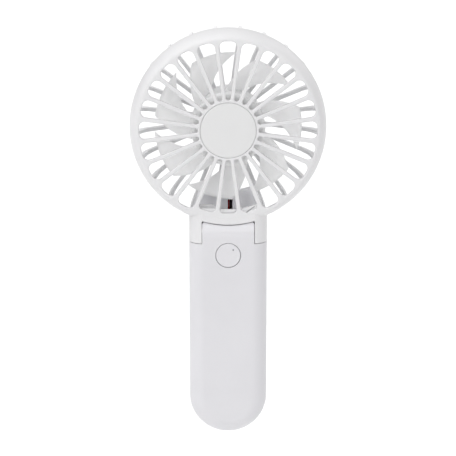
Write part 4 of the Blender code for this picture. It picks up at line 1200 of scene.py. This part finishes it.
RED_STOPS = [
    (-12.3, PIVOT_Y, PIVOT_H + 0.55), (-15.5, PIVOT_Y, PIVOT_H + 0.55), (-16.3, PIVOT_Y, 110.4), (-16.4, 7.4, 113.5),
    (-15.9, 7.3, 116.8), (-13.8, 8.1, 117.4), (-5.0, 8.3, 117.0), (-1.4, 8.4, 116.9), (0.05, 8.3, 117.0), (0.4, 8.0, 118.0), (0.42, 7.8, 119.6), (0.42, 8.0, 121.6),
    (0.5, 9.3, 123.4), (0.65, 12.2, 125.0), (0.65, 13.4, 127.6), (0.65, 13.6, 131.0), (0.65, 13.6, 146.0), (0.65, 14.1, 152.6),
]
BLACK_STOPS = [
    (-12.3, PIVOT_Y, PIVOT_H - 0.55), (-16.0, PIVOT_Y, PIVOT_H - 0.55), (-17.3, PIVOT_Y, 109.6), (-17.4, 7.3, 113.5),
    (-17.0, 7.2, 117.6), (-14.6, 8.1, 119.2), (-5.4, 8.9, 118.9), (-1.9, 9.3, 118.2), (0.3, 9.3, 117.6), (1.3, 8.7, 117.9), (1.55, 8.6, 119.2), (1.55, 8.8, 121.0),
    (1.45, 9.9, 122.4), (0.5, 11.4, 123.8), (-0.45, 12.7, 125.3), (-0.65, 13.3, 127.4), (-0.65, 13.6, 132.0), (-0.65, 13.6, 146.0), (-0.65, 14.1, 152.6),
]


# ---------------------------------------------------------------- assembly


def place(piece, look, body, slot, *nodes):
    piece.data.materials.clear()
    piece.data.materials.append(look)
    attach(piece, body)
    if nodes:
        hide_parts(*nodes)
    return piece


def recoat(look, *nodes):
    for name in nodes:
        data = frame["nodes"][name].data
        data.materials.clear()
        data.materials.append(look)


def floor():
    """A round pale table top under the fan, which is held above it."""
    points = [Vector((0.0, 0.0, FLOOR_Z))]
    points += [Vector((FLOOR_R * math.cos(math.tau * k / 96), FLOOR_R * math.sin(math.tau * k / 96), FLOOR_Z)) for k in range(96)]
    made = solid("floor", points, [(0, k + 1, (k + 1) % 96 + 1) for k in range(96)])
    made.data.materials.append(floor_look("floor_white"))
    if made.data.polygons[0].normal.z < 0:
        made.data.flip_normals()


def main():
    camera()
    studio()
    floor()

    # The handle's white carries a painted highlight along the tongue's top edge.
    shell_look = moulded("handle_white", (0.626, 0.621, 0.642), painted_top_highlight=(0.0545, 0.0612, 0.13))
    grille_look = moulded("grille_white", (0.656, 0.653, 0.661), grain=4200.0)
    cap_look = moulded("cap_white", (0.650, 0.650, 0.651), rough=(0.40, 0.5), grain=5200.0)
    button_look = moulded("button_white", (0.634, 0.628, 0.650), rough=(0.34, 0.42), grain=5200.0)
    # The rear cover's white is set brighter than the grille's and painted lighter still on the box's front plate:
    # painted light for the shade inside the head.
    cover_look = moulded("rear_white", (0.80, 0.80, 0.808), grain=4200.0, box=(0.0163, 0.0795, 1.23, 0.0118))
    # The blades' white is set far brighter than the grille's: painted light making up for the shade in the recess
    # behind the grille.
    fan_look = moulded("fan_white", (0.95, 0.95, 0.952), rough=(0.4, 0.52), grain=3000.0, through=0.004)
    pipe_look = clear_lens("pipe_clear", (0.50, 0.51, 0.54), 0.25)
    screw_look = metal("screw_zinc", (0.56, 0.57, 0.59))
    steel_look = metal("plated_steel", (0.58, 0.59, 0.61), stretch=(60.0, 700.0, 60.0))
    washer_look = metal("washer_steel", (0.45, 0.46, 0.48), stretch=(700.0, 60.0, 60.0))
    red_look = insulation("red_wire", (0.42, 0.032, 0.032))
    black_look = insulation("black_wire", (0.022, 0.022, 0.024))
    board_look = green_board("board_green")

    place(handle_shell("handle_shell_front", True), shell_look, "handle", "white_plastic", "handle_front_shell")
    place(handle_shell("handle_shell_back", False), shell_look, "handle", "white_plastic", "handle_rear_shell")
    place(power_button(), button_look, "button", "white_plastic", "power_button")
    place(light_pipe(), pipe_look, "button", "light_pipe", "indicator_light_pipe")
    for number, piece in enumerate(handle_screws(), 1):
        place(piece, screw_look, "handle", "steel", f"handle_screw_{number}")
    place(charging_socket(), steel_look, "handle", "steel", "usb_socket")

    place(front_grille(), grille_look, "head", "white_plastic", "front_grille")
    place(centre_cap(), cap_look, "head", "white_plastic", "front_centre_cap")
    place(rear_cover(), cover_look, "head", "white_plastic", "rear_cover")
    place(channel_strip(), cover_look, "head", "white_plastic", "wire_channel_cover")
    for number, piece in enumerate(motor_screws(), 1):
        place(piece, screw_look, "head", "steel", f"motor_screw_{number}")
    place(tidy(tube("motor_lead_red", RED_STOPS, 0.4)), red_look, "head", "red_insulation", "lead_red_head")
    place(tidy(tube("motor_lead_black", BLACK_STOPS, 0.4)), black_look, "head", "black_insulation", "lead_black_head")
    place(impeller(), fan_look, "rotor", "blade_plastic", "impeller")

    recoat(board_look, "circuit_board", "charge_board", "motor_board")
    recoat(steel_look, "nickel_strip_top", "nickel_strip_bottom", "hinge_pin_left", "hinge_pin_right", "rotor_can", "motor_shaft")
    recoat(washer_look, "friction_washer_left", "friction_washer_right")
    recoat(dark_moulding("switch_black"), "tact_switch_body")
    recoat(moulded("plunger_ivory", (0.66, 0.65, 0.60), rough=(0.4, 0.5)), "switch_plunger")
    recoat(clear_lens("led_lens", (0.85, 0.88, 0.80), 0.15), "indicator_led")
    recoat(cell_wrap("cell_film"), "battery_cell")
    recoat(foam("pad_foam"), "battery_pad")
    recoat(flat_cable("ribbon_grey"), "charge_ribbon")
    recoat(red_look, "battery_lead_red", "lead_red_handle")
    recoat(black_look, "battery_lead_black", "lead_black_handle")
    recoat(windings("enamelled_copper"), "motor_stator")
    recoat(metal("bush_brass", (0.72, 0.56, 0.26), stretch=(60.0, 900.0, 60.0)), "motor_bush")
    recoat(ferrite("magnet_ferrite"), "rotor_magnet_ring")


main()

bpy.context.view_layer.update()
